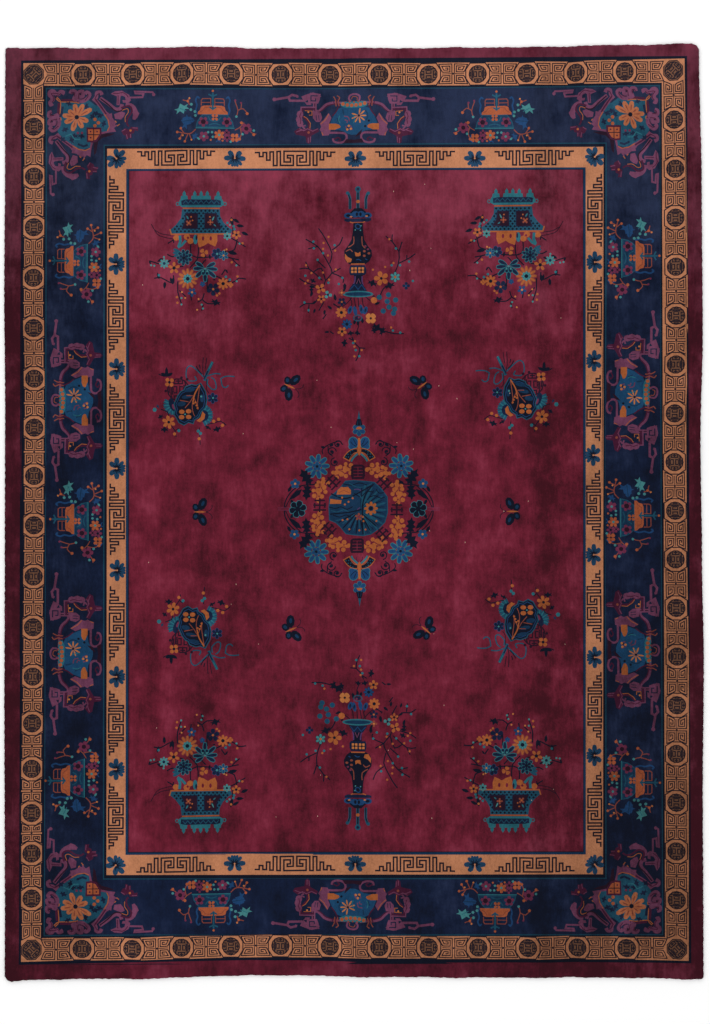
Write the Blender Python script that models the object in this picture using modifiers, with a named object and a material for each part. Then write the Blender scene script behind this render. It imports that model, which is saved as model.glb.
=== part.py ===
"""A hand-knotted wool pile rug, about 9 by 12 feet, lying flat with its pile upwards.

Frame: X runs across the rug, Y along it, +Z up through the pile. The origin is at the middle of
the rug's box, on the face that meets the floor. The rug is one knotted piece, so it is one solid:
its outline is the uneven one of an old rug, with sides that wander a few millimetres, a head that
rises to the right, a foot that rises to its middle, and four corners worn round by different
amounts. Lengths are metres unless a name says mm.
"""

import math

import bpy

NAME = "rug"

# Driving sizes
HALF_WIDTH = 1.360  # middle line to the straight side that the offsets are measured from
HALF_LENGTH = 1.820  # middle line to the straight end that the offsets are measured from
THICKNESS = 0.012  # cotton foundation and wool pile together
RIM_ROUND = 0.003  # rounding where the pile turns over at the edge
RIM_STEPS = 2  # segments in that rounding
STATION_STEP = 0.040  # spacing of the outline's points along a side
CORNER_STEPS = 5  # segments in each rounded corner

# How far each edge lies outside the straight one: (share of the way along the edge, offset in mm).
# The sides are read from foot to head, the ends from left to right.
LEFT_SIDE = ((0.00, 6), (0.08, 5), (0.30, 7), (0.45, 5), (0.62, 4), (0.74, 8), (0.86, 5), (1.00, 4))
RIGHT_SIDE = ((0.00, 8), (0.20, 5), (0.34, 9), (0.45, 2), (0.58, -4), (0.69, 5), (0.84, 1), (1.00, -10))
HEAD_END = ((0.00, -2), (0.18, -3), (0.27, 3), (0.38, -4), (0.55, -3), (0.75, 1), (0.88, 9), (1.00, 15))
FOOT_END = ((0.00, 16), (0.07, 6), (0.20, 4), (0.32, -8), (0.42, -10), (0.50, -3), (0.72, 0), (0.86, -1),
            (1.00, 6))

# Corner rounding, in order round the rug from the foot's left corner
CORNER_RADII = {"foot_left": 0.026, "foot_right": 0.009, "head_right": 0.027, "head_left": 0.007}

# The knotted ends are beaten up a little unevenly: (wavelength, height) of each ripple
END_RIPPLES = ((0.310, 0.0011), (0.173, 0.0008), (0.097, 0.0006))

PILE_COLOUR = (0.115, 0.014, 0.034, 1.0)
PILE_ROUGHNESS = 0.92


def clear_scene():
    """Removes whatever the open file holds, so that only the rug is left."""
    for old in list(bpy.data.objects):
        bpy.data.objects.remove(old)


def offset_at(table, share):
    """The edge's offset in metres at a share of its length, eased between the table's rows."""
    for (start, low), (end, high) in zip(table, table[1:]):
        if share <= end:
            t = (share - start) / (end - start)
            eased = t * t * (3.0 - 2.0 * t)
            return (low + (high - low) * eased) / 1000.0
    return table[-1][1] / 1000.0


def ripple(distance):
    """The small unevenness of a knotted end at a distance along it."""
    return sum(height * math.sin(math.tau * distance / wave) for wave, height in END_RIPPLES)


def side_points(table, sign, trim_start, trim_end):
    """Points up one long side, from foot to head. sign is -1 for the left side and +1 for the right."""
    low = -HALF_LENGTH + trim_start
    high = HALF_LENGTH - trim_end
    count = round((high - low) / STATION_STEP)
    points = []
    for i in range(count + 1):
        y = low + (high - low) * i / count
        share = (y + HALF_LENGTH) / (2.0 * HALF_LENGTH)
        points.append((sign * (HALF_WIDTH + offset_at(table, share)), y))
    return points


def end_points(table, sign, trim_start, trim_end):
    """Points along one end, from left to right. sign is -1 for the foot and +1 for the head."""
    low = -HALF_WIDTH + trim_start
    high = HALF_WIDTH - trim_end
    count = round((high - low) / STATION_STEP)
    points = []
    for i in range(count + 1):
        x = low + (high - low) * i / count
        share = (x + HALF_WIDTH) / (2.0 * HALF_WIDTH)
        points.append((x, sign * (HALF_LENGTH + offset_at(table, share) + ripple(x))))
    return points


def corner_points(before, after, corner):
    """A quarter turn between two edges, as a quadratic curve that leaves each edge straight on."""
    points = []
    for i in range(1, CORNER_STEPS):
        t = i / CORNER_STEPS
        weights = ((1.0 - t) ** 2, 2.0 * t * (1.0 - t), t ** 2)
        points.append(tuple(
            weights[0] * before[k] + weights[1] * corner[k] + weights[2] * after[k] for k in range(2)
        ))
    return points


def outline():
    """The rug's outline, counter-clockwise from the foot's left corner."""
    r = CORNER_RADII
    foot = end_points(FOOT_END, -1.0, r["foot_left"], r["foot_right"])
    right = side_points(RIGHT_SIDE, 1.0, r["foot_right"], r["head_right"])
    head = end_points(HEAD_END, 1.0, r["head_left"], r["head_right"])[::-1]
    left = side_points(LEFT_SIDE, -1.0, r["foot_left"], r["head_left"])[::-1]
    edges = (foot, right, head, left)
    points = []
    for i, edge in enumerate(edges):
        following = edges[(i + 1) % 4][0]
        last = edge[-1]
        along_x = i % 2 == 0
        corner = (following[0], last[1]) if along_x else (last[0], following[1])
        points += edge + corner_points(last, following, corner)
    return points


def pile_material():
    """Matt wool in the colour of the rug's ground."""
    material = bpy.data.materials.new("wool_pile")
    material.use_nodes = True
    shader = material.node_tree.nodes["Principled BSDF"]
    shader.inputs["Base Color"].default_value = PILE_COLOUR
    shader.inputs["Roughness"].default_value = PILE_ROUGHNESS
    shader.inputs["Metallic"].default_value = 0.0
    return material


def make_rug(collection):
    """The rug as a filled flat outline, thickened, with its rims rounded."""
    points = outline()
    curve = bpy.data.curves.new(NAME, "CURVE")
    curve.dimensions = "2D"
    curve.fill_mode = "BOTH"
    curve.extrude = THICKNESS / 2.0
    spline = curve.splines.new("POLY")
    spline.points.add(len(points) - 1)
    for point, (x, y) in zip(spline.points, points):
        point.co = (x, y, 0.0, 1.0)
    spline.use_cyclic_u = True
    rug = bpy.data.objects.new(NAME, curve)
    middle = [(min(p[k] for p in points) + max(p[k] for p in points)) / 2.0 for k in range(2)]
    rug.location = (-middle[0], -middle[1], THICKNESS / 2.0)
    curve.materials.append(pile_material())
    collection.objects.link(rug)

    weld = rug.modifiers.new("join_faces_to_rim", "WELD")
    weld.merge_threshold = 0.00001
    rounding = rug.modifiers.new("rounded_rims", "BEVEL")
    rounding.width = RIM_ROUND
    rounding.segments = RIM_STEPS
    rounding.limit_method = "ANGLE"
    rounding.angle_limit = math.radians(60.0)
    rounding.use_clamp_overlap = False
    return rug


def main():
    clear_scene()
    collection = bpy.data.collections.new("pile_rug")
    bpy.context.scene.collection.children.link(collection)
    make_rug(collection)


main()
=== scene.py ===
"""A hand-knotted Chinese art deco rug, laid flat with its wool pile upwards.

The rug is one closed cloth. Its pattern is drawn first as flat coloured shapes in millimetres: petals,
leaves, frets and lines, painted one over the other. All their outlines are joined into one net of
triangles, so each triangle takes the yarn of the shape painted last over it. The flat plan (u, v) then
becomes the real cloth by one formula:

    x = u + lean of the bands(u, v) + side offset(v) * |u / half width|^1.7
    y = v + end offset(u) * |v / half length|^1.7
    z = thickness + gentle waves(u, v)

so the field stays nearly straight and the borders follow the uneven edge more and more. The rim is the
same outline carried outwards and down round a quarter circle, and the underside closes it.
"""

import math

import bpy
import numpy as np
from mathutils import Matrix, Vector
from mathutils.bvhtree import BVHTree
from mathutils.geometry import delaunay_2d_cdt, tessellate_polygon


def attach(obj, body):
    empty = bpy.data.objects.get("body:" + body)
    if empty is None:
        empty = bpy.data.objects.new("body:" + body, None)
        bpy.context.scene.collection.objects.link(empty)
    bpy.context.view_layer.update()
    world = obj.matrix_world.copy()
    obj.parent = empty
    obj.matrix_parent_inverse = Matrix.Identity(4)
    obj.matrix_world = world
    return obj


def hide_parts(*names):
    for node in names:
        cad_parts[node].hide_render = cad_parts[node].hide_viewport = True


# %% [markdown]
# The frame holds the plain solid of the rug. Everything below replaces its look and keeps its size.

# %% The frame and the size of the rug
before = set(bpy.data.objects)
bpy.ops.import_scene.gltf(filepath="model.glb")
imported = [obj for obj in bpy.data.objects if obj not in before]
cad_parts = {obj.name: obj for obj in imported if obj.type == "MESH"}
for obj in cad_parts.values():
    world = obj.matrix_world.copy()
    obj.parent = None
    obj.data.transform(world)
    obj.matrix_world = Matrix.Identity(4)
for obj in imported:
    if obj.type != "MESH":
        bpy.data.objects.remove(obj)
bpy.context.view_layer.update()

MM = 0.001
HALF_WIDTH = 1360.0  # middle line to the straight side, in mm
HALF_LENGTH = 1820.0  # middle line to the straight end, in mm
THICKNESS = 12.0  # foundation and pile together

# How far the real edge lies outside the straight one: (share of the way along it, offset in mm).
# Sides are read from foot to head, ends from left to right.
LEFT_SIDE = ((0.00, 6), (0.08, 5), (0.30, 7), (0.45, 5), (0.62, 4), (0.74, 8), (0.86, 5), (1.00, 4))
RIGHT_SIDE = ((0.00, 8), (0.20, 5), (0.34, 9), (0.45, 2), (0.58, -4), (0.69, 5), (0.84, 1), (1.00, -10))
HEAD_END = ((0.00, -2), (0.18, -3), (0.27, 3), (0.38, -4), (0.55, -3), (0.75, 1), (0.88, 9), (1.00, 15))
FOOT_END = (
    (0.00, 16), (0.07, 6), (0.20, 4), (0.32, -8), (0.42, -10), (0.50, -3), (0.72, 0), (0.86, -1), (1.00, 6),
)
CORNER_RADII = (26.0, 9.0, 27.0, 7.0)  # foot left, foot right, head right, head left
END_RIPPLES = ((310.0, 1.1), (173.0, 0.8), (97.0, 0.6))  # (wavelength, height) of the beaten-up ends

# %% [markdown]
# Wool is dyed in a few strong colours. Each yarn has a name here, and the drawing below only ever says
# which yarn it uses. The last number tells how much the lie of the pile shows in that yarn: a plain
# ground shows every brush stroke, and a small dark leaf hardly any. It also sets how strongly the painted
# light at the head, the painted shade at the sides and on the crease lines, and the painted sheen show in
# it.

# %% The dyed yarns: red, green, blue from 0 to 255, then how much the nap and the painted light and shade show
YARNS = {
    "wine": (87, 20, 36, 1.0),
    "guard": (76, 18, 33, 0.9),
    "navy": (10, 21, 44, 0.8),
    "ink": (8, 13, 27, 0.3),
    "tan": (160, 105, 74, 0.35),
    "fret_line": (24, 19, 28, 0.2),
    "teal_line": (15, 50, 66, 0.4),
    "blue_line": (13, 40, 66, 0.3),
    "teal": (32, 86, 96, 0.4),
    "pale_teal": (54, 106, 108, 0.4),
    "deep_teal": (13, 40, 64, 0.5),
    "sea": (20, 62, 80, 0.5),
    "blue": (20, 52, 88, 0.4),
    "orange": (138, 74, 38, 0.4),
    "amber": (158, 96, 52, 0.4),
    "mauve": (90, 47, 70, 0.6),
    "violet": (66, 42, 80, 0.5),
    "plum": (56, 16, 38, 0.4),
    "rose": (90, 35, 58, 0.4),
    "umber": (30, 12, 26, 0.3),
    "rust": (110, 54, 42, 0.4),
    "salmon": (138, 70, 42, 0.4),
    "apricot": (146, 84, 54, 0.4),
    "emblem": (98, 66, 48, 0.3),
    "petal_blue": (20, 50, 74, 0.4),
    "pond": (18, 56, 86, 0.4),
    "lint": (176, 150, 132, 0.2),
}
YARN_NAMES = list(YARNS)


def linear(value):
    """A 0 to 255 colour number as the linear light that the shader works in."""
    share = value / 255.0
    return share / 12.92 if share <= 0.04045 else ((share + 0.055) / 1.055) ** 2.4


print("yarns:", len(YARNS), "red of the wine ground as light:", round(linear(YARNS["wine"][0]), 3))

# %% [markdown]
# The drawing tools come next. A Sketch is a list of flat shapes in painting order. A line is a chain of
# four-cornered pieces with mitred joints, so a bend keeps its width, and a curve is the smooth line
# through the points given. A finished sketch is put into another one moved, turned, flipped or scaled,
# which is how a weaver repeats one chart all round a rug.

# %% The drawing tools


def smooth(points, steps=3):
    """The smooth (Catmull-Rom) curve through the points, with so many steps between each two."""
    p = np.asarray(points, float)
    ends = np.vstack([2.0 * p[:1] - p[1:2], p, 2.0 * p[-1:] - p[-2:-1]])
    a, b, c, d = ends[:-3, None], ends[1:-2, None], ends[2:-1, None], ends[3:, None]
    t = (np.arange(steps) / steps)[None, :, None]
    bends = 2 * b + (c - a) * t + (2 * a - 5 * b + 4 * c - d) * t**2 + (3 * b - a - 3 * c + d) * t**3
    return np.vstack([(0.5 * bends).reshape(-1, 2), p[-1:]])


def ribbon(points, width, closed=False):
    """A line of the given width as four-cornered pieces. width may be one number or one per point."""
    p = np.asarray(points, float)
    if closed:
        p = np.vstack([p, p[:1]])
    step = np.diff(p, axis=0)
    step /= np.maximum(np.linalg.norm(step, axis=1, keepdims=True), 1e-9)
    across = np.stack([-step[:, 1], step[:, 0]], axis=1)
    before = np.vstack([across[-1:] if closed else across[:1], across])
    after = np.vstack([across, across[:1] if closed else across[-1:]])
    mitre = before + after
    mitre /= np.maximum(1.0 + np.sum(before * after, axis=1, keepdims=True), 0.5)
    half = (np.broadcast_to(np.asarray(width, float), (len(p),)) / 2.0)[:, None]
    left, right = p + mitre * half, p - mitre * half
    return np.stack([left[:-1], right[:-1], right[1:], left[1:]], axis=1)


def oval_points(at, size, turn=0.0, sides=9):
    """An oval outline: at its middle, size is its two half-widths, turned by so many degrees."""
    angle = np.arange(sides) * math.tau / sides
    x, y = np.cos(angle) * size[0], np.sin(angle) * size[1]
    c, s = math.cos(math.radians(turn)), math.sin(math.radians(turn))
    return np.stack([at[0] + x * c - y * s, at[1] + x * s + y * c], axis=1)


class Sketch:
    """Flat coloured shapes in painting order. Each is a yarn's number and its outline in mm."""

    def __init__(self):
        self.shapes = []

    def fill(self, yarn, points):
        """A flat shape inside an outline."""
        self.shapes.append((YARN_NAMES.index(yarn), np.asarray(points, float)))

    def line(self, yarn, width, points, closed=False):
        """A line with straight stretches between its points."""
        for piece in ribbon(points, width, closed):
            self.fill(yarn, piece)

    def lines(self, yarn, width, paths):
        """Several lines of one yarn and width."""
        for path in paths:
            self.line(yarn, width, path)

    def sweep(self, yarn, width, points, steps=3):
        """A smooth line. Two widths make it taper from the first to the last."""
        path = smooth(points, steps)
        if isinstance(width, tuple):
            width = np.linspace(width[0], width[1], len(path))
        self.line(yarn, width, path)

    def sweeps(self, yarn, width, paths, steps=3):
        """Several smooth lines of one yarn and width."""
        for path in paths:
            self.sweep(yarn, width, path, steps)

    def ovals(self, yarn, size, spots, turn=0.0, sides=7):
        """The same oval at every spot."""
        for at in spots:
            self.fill(yarn, oval_points(at, size, turn, sides))

    def dots(self, yarn, radius, spots, sides=6):
        """The same round dot at every spot."""
        self.ovals(yarn, (radius, radius), spots, 0.0, sides)

    def put(self, other, at=(0.0, 0.0), turn=0.0, flip=False, size=1.0):
        """Paints another sketch here: flipped left to right first, then turned, scaled and moved."""
        c, s = size * math.cos(math.radians(turn)), size * math.sin(math.radians(turn))
        mirror = -1.0 if flip else 1.0
        matrix = np.array([[c * mirror, s * mirror], [-s, c]])
        for yarn, points in other.shapes:
            self.shapes.append((yarn, points @ matrix + np.asarray(at, float)))

    def puts(self, other, places):
        """The same sketch at several places: x, y, then a turn in degrees and a flip where it has them."""
        for x, y, *turn_and_flip in places:
            self.put(other, (x, y), *turn_and_flip)

    def bloom(self, at, *petals, **looks):
        """A blossom at a spot."""
        self.put(blossom(*petals, **looks), at)

    def pair(self, half):
        """A half sketch and its mirror image."""
        self.put(half)
        self.put(half, flip=True)

    def quarters(self, quarter):
        """A quarter sketch in all four quarters."""
        for flip in (False, True):
            self.put(quarter, flip=flip)
            self.put(quarter, turn=180.0, flip=flip)


def tell(name, art):
    """Prints how much drawing a sketch holds."""
    corners = sum(len(points) for _, points in art.shapes)
    print(name + ":", len(art.shapes), "shapes with", corners, "corners")


trial = Sketch()
trial.line("navy", 2.0, [(0, 0), (10, 0), (10, 10)])
tell("a line with one bend", trial)

# %% [markdown]
# Nearly every flower in the rug is the same idea: a rounded petal repeated round a heart, sometimes with
# a second yarn showing as its rim. Leaves are pointed ovals, and the broad ones are five-pointed stars.

# %% Flowers, leaves, twigs and berries


def whole(right_half):
    """A whole outline from its right half, which runs from foot to tip along the middle line."""
    half = np.array(right_half, float)
    return np.vstack([half, half[-2:0:-1] * (-1, 1)])


# All are about one unit long and wide. The two leaves with lobes are written in hundredths.
PETAL = whole([(0, 0.06), (0.3, 0.3), (0.5, 0.62), (0.36, 0.92), (0, 1)])
LEAF = whole([(0, 0), (0.45, 0.32), (0.36, 0.7), (0, 1)])
STAR_LEAF = whole([(0, 0), (30, 45), (80, 28), (58, 62), (85, 88), (36, 82), (0, 128)]) / 100
OAK_LEAF = whole([
    (0, 0), (12, 10), (42, 12), (20, 30), (52, 40), (24, 55), (42, 74), (14, 80), (0, 100),
]) / 100


def petal(yarn, length, width, rim=None, rim_width=3):
    """One petal that points up from the origin."""
    art = Sketch()
    if rim:
        art.fill(rim, PETAL * (width, length))
        inner = PETAL * (max(width - 2 * rim_width, 2), length - 1.6 * rim_width)
        art.fill(yarn, inner + (0, 0.8 * rim_width))
    else:
        art.fill(yarn, PETAL * (width, length))
    return art


def blossom(radius, count, yarn, heart=None, rim=None, slim=1, turn=0, core=0.3):
    """Petals fanned evenly round a heart."""
    art = Sketch()
    one = petal(yarn, radius, 4.4 * radius / count * slim, rim, 0.075 * radius)
    for k in range(count):
        art.put(one, turn=turn + 360 * k / count)
    if heart:
        art.dots(heart, radius * core, [(0, 0)], sides=7)
    return art


def leaf(yarn, length, width):
    """A pointed leaf that grows up from the origin."""
    art = Sketch()
    art.fill(yarn, LEAF * (width, length))
    return art


def star_leaf(yarn, radius):
    """A broad five-pointed leaf, like that of a maple or a vine."""
    art = Sketch()
    art.fill(yarn, STAR_LEAF * radius - (0, 0.5 * radius))
    return art


def oak_leaf(yarn, length, width):
    """A long leaf with three pairs of lobes that grows up from the origin."""
    art = Sketch()
    art.fill(yarn, OAK_LEAF * (width, length))
    return art


def fan(yarn, radius, count, start, end, width):
    """Slim petals spread over part of a circle, from one angle to the other, up being 0 degrees."""
    art = Sketch()
    one = petal(yarn, radius, width)
    for turn in np.linspace(start, end, count):
        art.put(one, turn=turn)
    return art


def fret_disc(yarn, radius, width):
    """A round emblem of plain symmetrical fretwork: it spells nothing."""
    r = radius / 10
    quarter = Sketch()
    quarter.lines(yarn, width, [
        [(1.3 * r, 0), (1.3 * r, 2.6 * r), (4 * r, 2.6 * r)],
        [(0, 5.2 * r), (3.6 * r, 5.2 * r), (3.6 * r, 8.6 * r)],
        [(6.3 * r, 0), (6.3 * r, 4.6 * r), (5.6 * r, 7.2 * r)], [(3.8 * r, 0), (6.3 * r, 0)],
        [(0, 7.4 * r), (2.2 * r, 7.4 * r)], [(8 * r, 0), (7.8 * r, 2.6 * r)],
        [(3.8 * r, 1.3 * r), (5 * r, 1.3 * r), (5 * r, 4.2 * r)],
    ])
    art = Sketch()
    art.quarters(quarter)
    for up in (1, -1):
        art.line(yarn, width, [(0, up * 5.2 * r), (0, up * 9 * r)])
    art.line(yarn, width, oval_points((0, 0), (9.4 * r, 9.4 * r), 0, 14), closed=True)
    return art


def small_butterfly():
    """A butterfly seen from above, flying up: near-black wings with a little blue, and an orange body."""
    half = Sketch()
    half.ovals("ink", (26, 17), [(31, 9)], 24, 9)
    half.ovals("ink", (17, 14), [(17, -17)], -30, 8)
    half.ovals("deep_teal", (11, 6), [(33, 11)], 24, 7)
    half.ovals("deep_teal", (9, 7), [(18, -18)], -30, 6)
    half.sweep("ink", 2.4, [(1, 24), (6, 38), (17, 47), (28, 46)], 2)
    art = Sketch()
    art.pair(half)
    art.fill("orange", [(0, 24), (3.4, 10), (3, -10), (0, -27), (-3, -10), (-3.4, 10)])
    return art


print("corners of a petal:", len(PETAL), "and of a star leaf:", len(STAR_LEAF))
tell("round fret emblem", fret_disc("umber", 40, 4))
tell("small butterfly", small_butterfly())

# %% [markdown]
# The borders are plain bands, one frame inside the next. Each frame is listed by its four outer sides,
# so the narrow lines between the bands are only two frames a few millimetres apart. The old cloth has
# pulled a little, so the four sides of a frame differ by a centimetre.

# %% The bands, each frame painted over the one before it
# yarn, left, right, foot, head: the sides of the frame in mm from the middle of the rug
BANDS = (
    ("ink", -1299, 1312, -1757, 1771),
    ("tan", -1290, 1302, -1747, 1761),
    ("ink", -1210, 1211, -1658, 1671),
    ("teal_line", -1203, 1204, -1651, 1663),
    ("navy", -1198, 1199, -1647, 1658),
    ("teal_line", -981, 991, -1433, 1441),
    ("ink", -976, 986, -1428, 1436),
    ("tan", -967, 978, -1415, 1425),
    ("blue_line", -893, 907, -1337, 1346),
    ("ink", -884, 898, -1328, 1339),
    ("wine", -881, 896, -1325, 1337),
)
OUTER_TAN, OUTER_LINE, MAIN_NAVY, INNER_TAN, INNER_LINE, FIELD = (BANDS[k] for k in (1, 2, 4, 7, 8, 10))


def middle_lines(outer, inner):
    """Left, right, foot and head lines that run halfway between two frames."""
    return [(far + near) / 2 for far, near in zip(outer[1:], inner[1:])]


def draw_bands(art):
    """The nested frames of the borders and the field."""
    for yarn, left, right, foot, head in BANDS:
        art.fill(yarn, [(left, foot), (right, foot), (right, head), (left, head)])


print("bands:", len(BANDS), "field:", FIELD[2] - FIELD[1], "by", FIELD[4] - FIELD[3], "mm")

# %% [markdown]
# The outer border alternates a round emblem in an eight-sided frame with a panel of square spirals. Both
# are drawn lying along x with the middle of the band at y = 0. One quarter of the panel is drawn and
# flipped into the other three.

# %% The outer border: roundel and fret panel
ROUNDEL_HALF = 47  # half the length of the roundel's frame along the band
PANEL_OVERLAP = 20  # how far a panel reaches into the slanted corners of the two frames beside it


def roundel(turn):
    """An eight-sided frame round a disc of dense fretwork, the disc turned in its frame."""
    art = Sketch()
    edge = [(-47, -17), (-30, -43), (30, -43), (47, -17), (47, 17), (30, 43), (-30, 43), (-47, 17)]
    art.line("fret_line", 4.4, edge, closed=True)
    art.fill("emblem", oval_points((0, 0), (34, 34), 0, 14))
    art.put(fret_disc("fret_line", 36, 4.3), turn=turn)
    return art


def fret_panel(length):
    """Four square spirals, a line along the middle and a small cross. length is the room for them."""
    art = Sketch()
    reach = length / 2
    quarter = Sketch()
    quarter.line("fret_line", 4.1, [
        (5, 7), (5, 38), (reach - 3, 38), (reach - 12, 16), (reach - 18, 7), (13, 7), (13, 30),
        (reach - 15, 30), (reach - 23, 15), (21, 15), (21, 23), (reach - 28, 23),
    ])
    spine = Sketch()
    spine.line("fret_line", 3.2, [(0, 0), (reach - 16, 0)])
    for flip in (False, True):
        art.put(quarter, flip=flip)
        art.put(quarter, turn=180, flip=flip)
        art.put(spine, flip=flip)
    art.lines("fret_line", 3.2, [[(-7, -7), (7, 7)], [(-7, 7), (7, -7)]])
    return art


# Middles of the roundels along each side, in mm, the corners included. On the left side the knots were
# beaten up closer towards the foot.
END_ROUNDELS = np.linspace(-1252, 1258, 14)
LEFT_ROUNDELS = np.array([
    1716, 1511, 1316, 1117, 919, 722, 524, 332, 143, -50, -250, -448, -640, -822, -999, -1171, -1328, -1503,
    -1702,
])
RIGHT_ROUNDELS = np.linspace(1716, -1702, 19)


def draw_outer_border(art):
    """Roundels at the stations of each side, and a fret panel stretched into every gap."""
    left, right, foot, head = middle_lines(OUTER_TAN, OUTER_LINE)
    emblems = (roundel(0), roundel(90))
    for stations, fixed, upright in (
        (END_ROUNDELS, head, False), (END_ROUNDELS, foot, False), (LEFT_ROUNDELS, left, True),
        (RIGHT_ROUNDELS, right, True),
    ):
        turn = 90 if upright else 0
        for low, high in zip(stations[:-1], stations[1:]):
            middle = (low + high) / 2
            gap = abs(high - low) - 2 * ROUNDEL_HALF + PANEL_OVERLAP
            art.put(fret_panel(gap), (fixed, middle) if upright else (middle, fixed), turn)
        for k, station in enumerate(stations[1:-1]):
            place = (fixed, station) if upright else (station, fixed)
            art.put(emblems[k % 2], place, turn)
    for x in (left, right):
        for y, slope in ((foot, 1), (head, -1)):
            corner = Sketch()
            corner.fill("emblem", oval_points((0, 0), (40, 40), 0, 12))
            corner.line("fret_line", 3.2, oval_points((0, 0), (41, 41), 22.5, 8), closed=True)
            corner.put(fret_disc("fret_line", 35, 4.2), turn=45 * slope)
            art.put(corner, (x, y))


tell("roundel", roundel(0))
tell("fret panel", fret_panel(120))

# %% [markdown]
# The inner border has key frets that hang from its outer side, and a fan of blue petals between them. The
# key is one unbroken line: its left half is written down, and the right half is the same points mirrored.

# %% The inner border: key fret and floret
KEY_HALF = [
    (-156, 25), (-138, 25), (-138, 9), (-124, 9), (-124, 25), (-110, 25), (-110, -5), (-97, -5), (-97, 27),
    (-84, 27), (-84, -27), (-70, -27), (-70, 28), (-57, 28), (-57, -27), (-7, -27), (-7, 12), (-30, 12),
    (-30, 2), (-18, 2), (-18, -14), (-43, -14), (-43, 28),
]
KEY_FRET = KEY_HALF + [(-x, y) for x, y in KEY_HALF[::-1]]
KEY_LENGTH = 312  # the key's own length, in mm
KEY_SHARE = 0.67


def key_fret(gap, breadth):
    """The key for a gap between two florets, stretched to fill two thirds of it."""
    art = Sketch()
    share = KEY_SHARE * gap / KEY_LENGTH
    art.line("fret_line", 6.4, [(share * x, breadth * y) for x, y in KEY_FRET])
    return art


def floret():
    """Seven rounded petals that open away from the outer side, with a dark stroke in each."""
    art = Sketch()
    for turn, length, width in ((42, 37, 21), (90, 43, 21), (134, 38, 16), (161, 36, 13), (180, 34, 11)):
        for way in (turn, -turn):
            art.put(petal("petal_blue", length, width), turn=way)
    for turn, length in ((42, 22), (66, 16), (90, 24), (112, 16), (134, 24), (161, 22)):
        for way in (turn, -turn):
            art.put(leaf("ink", length, 5), turn=way)
    art.dots("tan", 3.6, [(0, 0)])
    return art


# Middles of the florets along each side, in mm, the corners included
END_FLORETS = (-927, -465, 6, 473, 938)
LEFT_FLORETS = (1380, 972, 561, 172, -226, -642, -1003, -1370)
RIGHT_FLORETS = (1380, 977, 592, 224, -165, -566, -950, -1370)


def draw_inner_border(art):
    """Florets at their stations along the four sides and a key fret in every gap."""
    left, right, foot, head = middle_lines(INNER_TAN, INNER_LINE)
    left, right, foot, head = left - 1, right + 1, foot - 1, head + 1
    flower = floret()
    for low, high in zip(END_FLORETS[:-1], END_FLORETS[1:]):
        key = key_fret(high - low, 1)
        art.put(key, ((low + high) / 2, head))
        art.put(key, ((low + high) / 2, foot), 180)
    for x in END_FLORETS[1:-1]:
        art.put(flower, (x, head))
        art.put(flower, (x, foot), 180)
    for stations, x, turn in ((LEFT_FLORETS, left, 90), (RIGHT_FLORETS, right, -90)):
        for high, low in zip(stations[:-1], stations[1:]):
            art.put(key_fret(1.05 * (high - low), 1.02), (x, (low + high) / 2), turn)
        for y in stations[1:-1]:
            art.put(flower, (x, y), turn)
    for x, y, turn in ((left, head, 45), (right, head, -45), (left, foot, 135), (right, foot, -135)):
        art.put(flower, (x, y), turn, size=1.05)


tell("floret", floret())
tell("key fret", key_fret(460, 1))

# %% [markdown]
# A cloud cartouche fills each corner of the main border. It is drawn for one corner, with x running along
# the end of the rug and y into it, both from the band's outer corner. The scrolled wing is drawn once and
# flipped across the diagonal for the other side.

# %% The corner cartouche's wing


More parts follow.
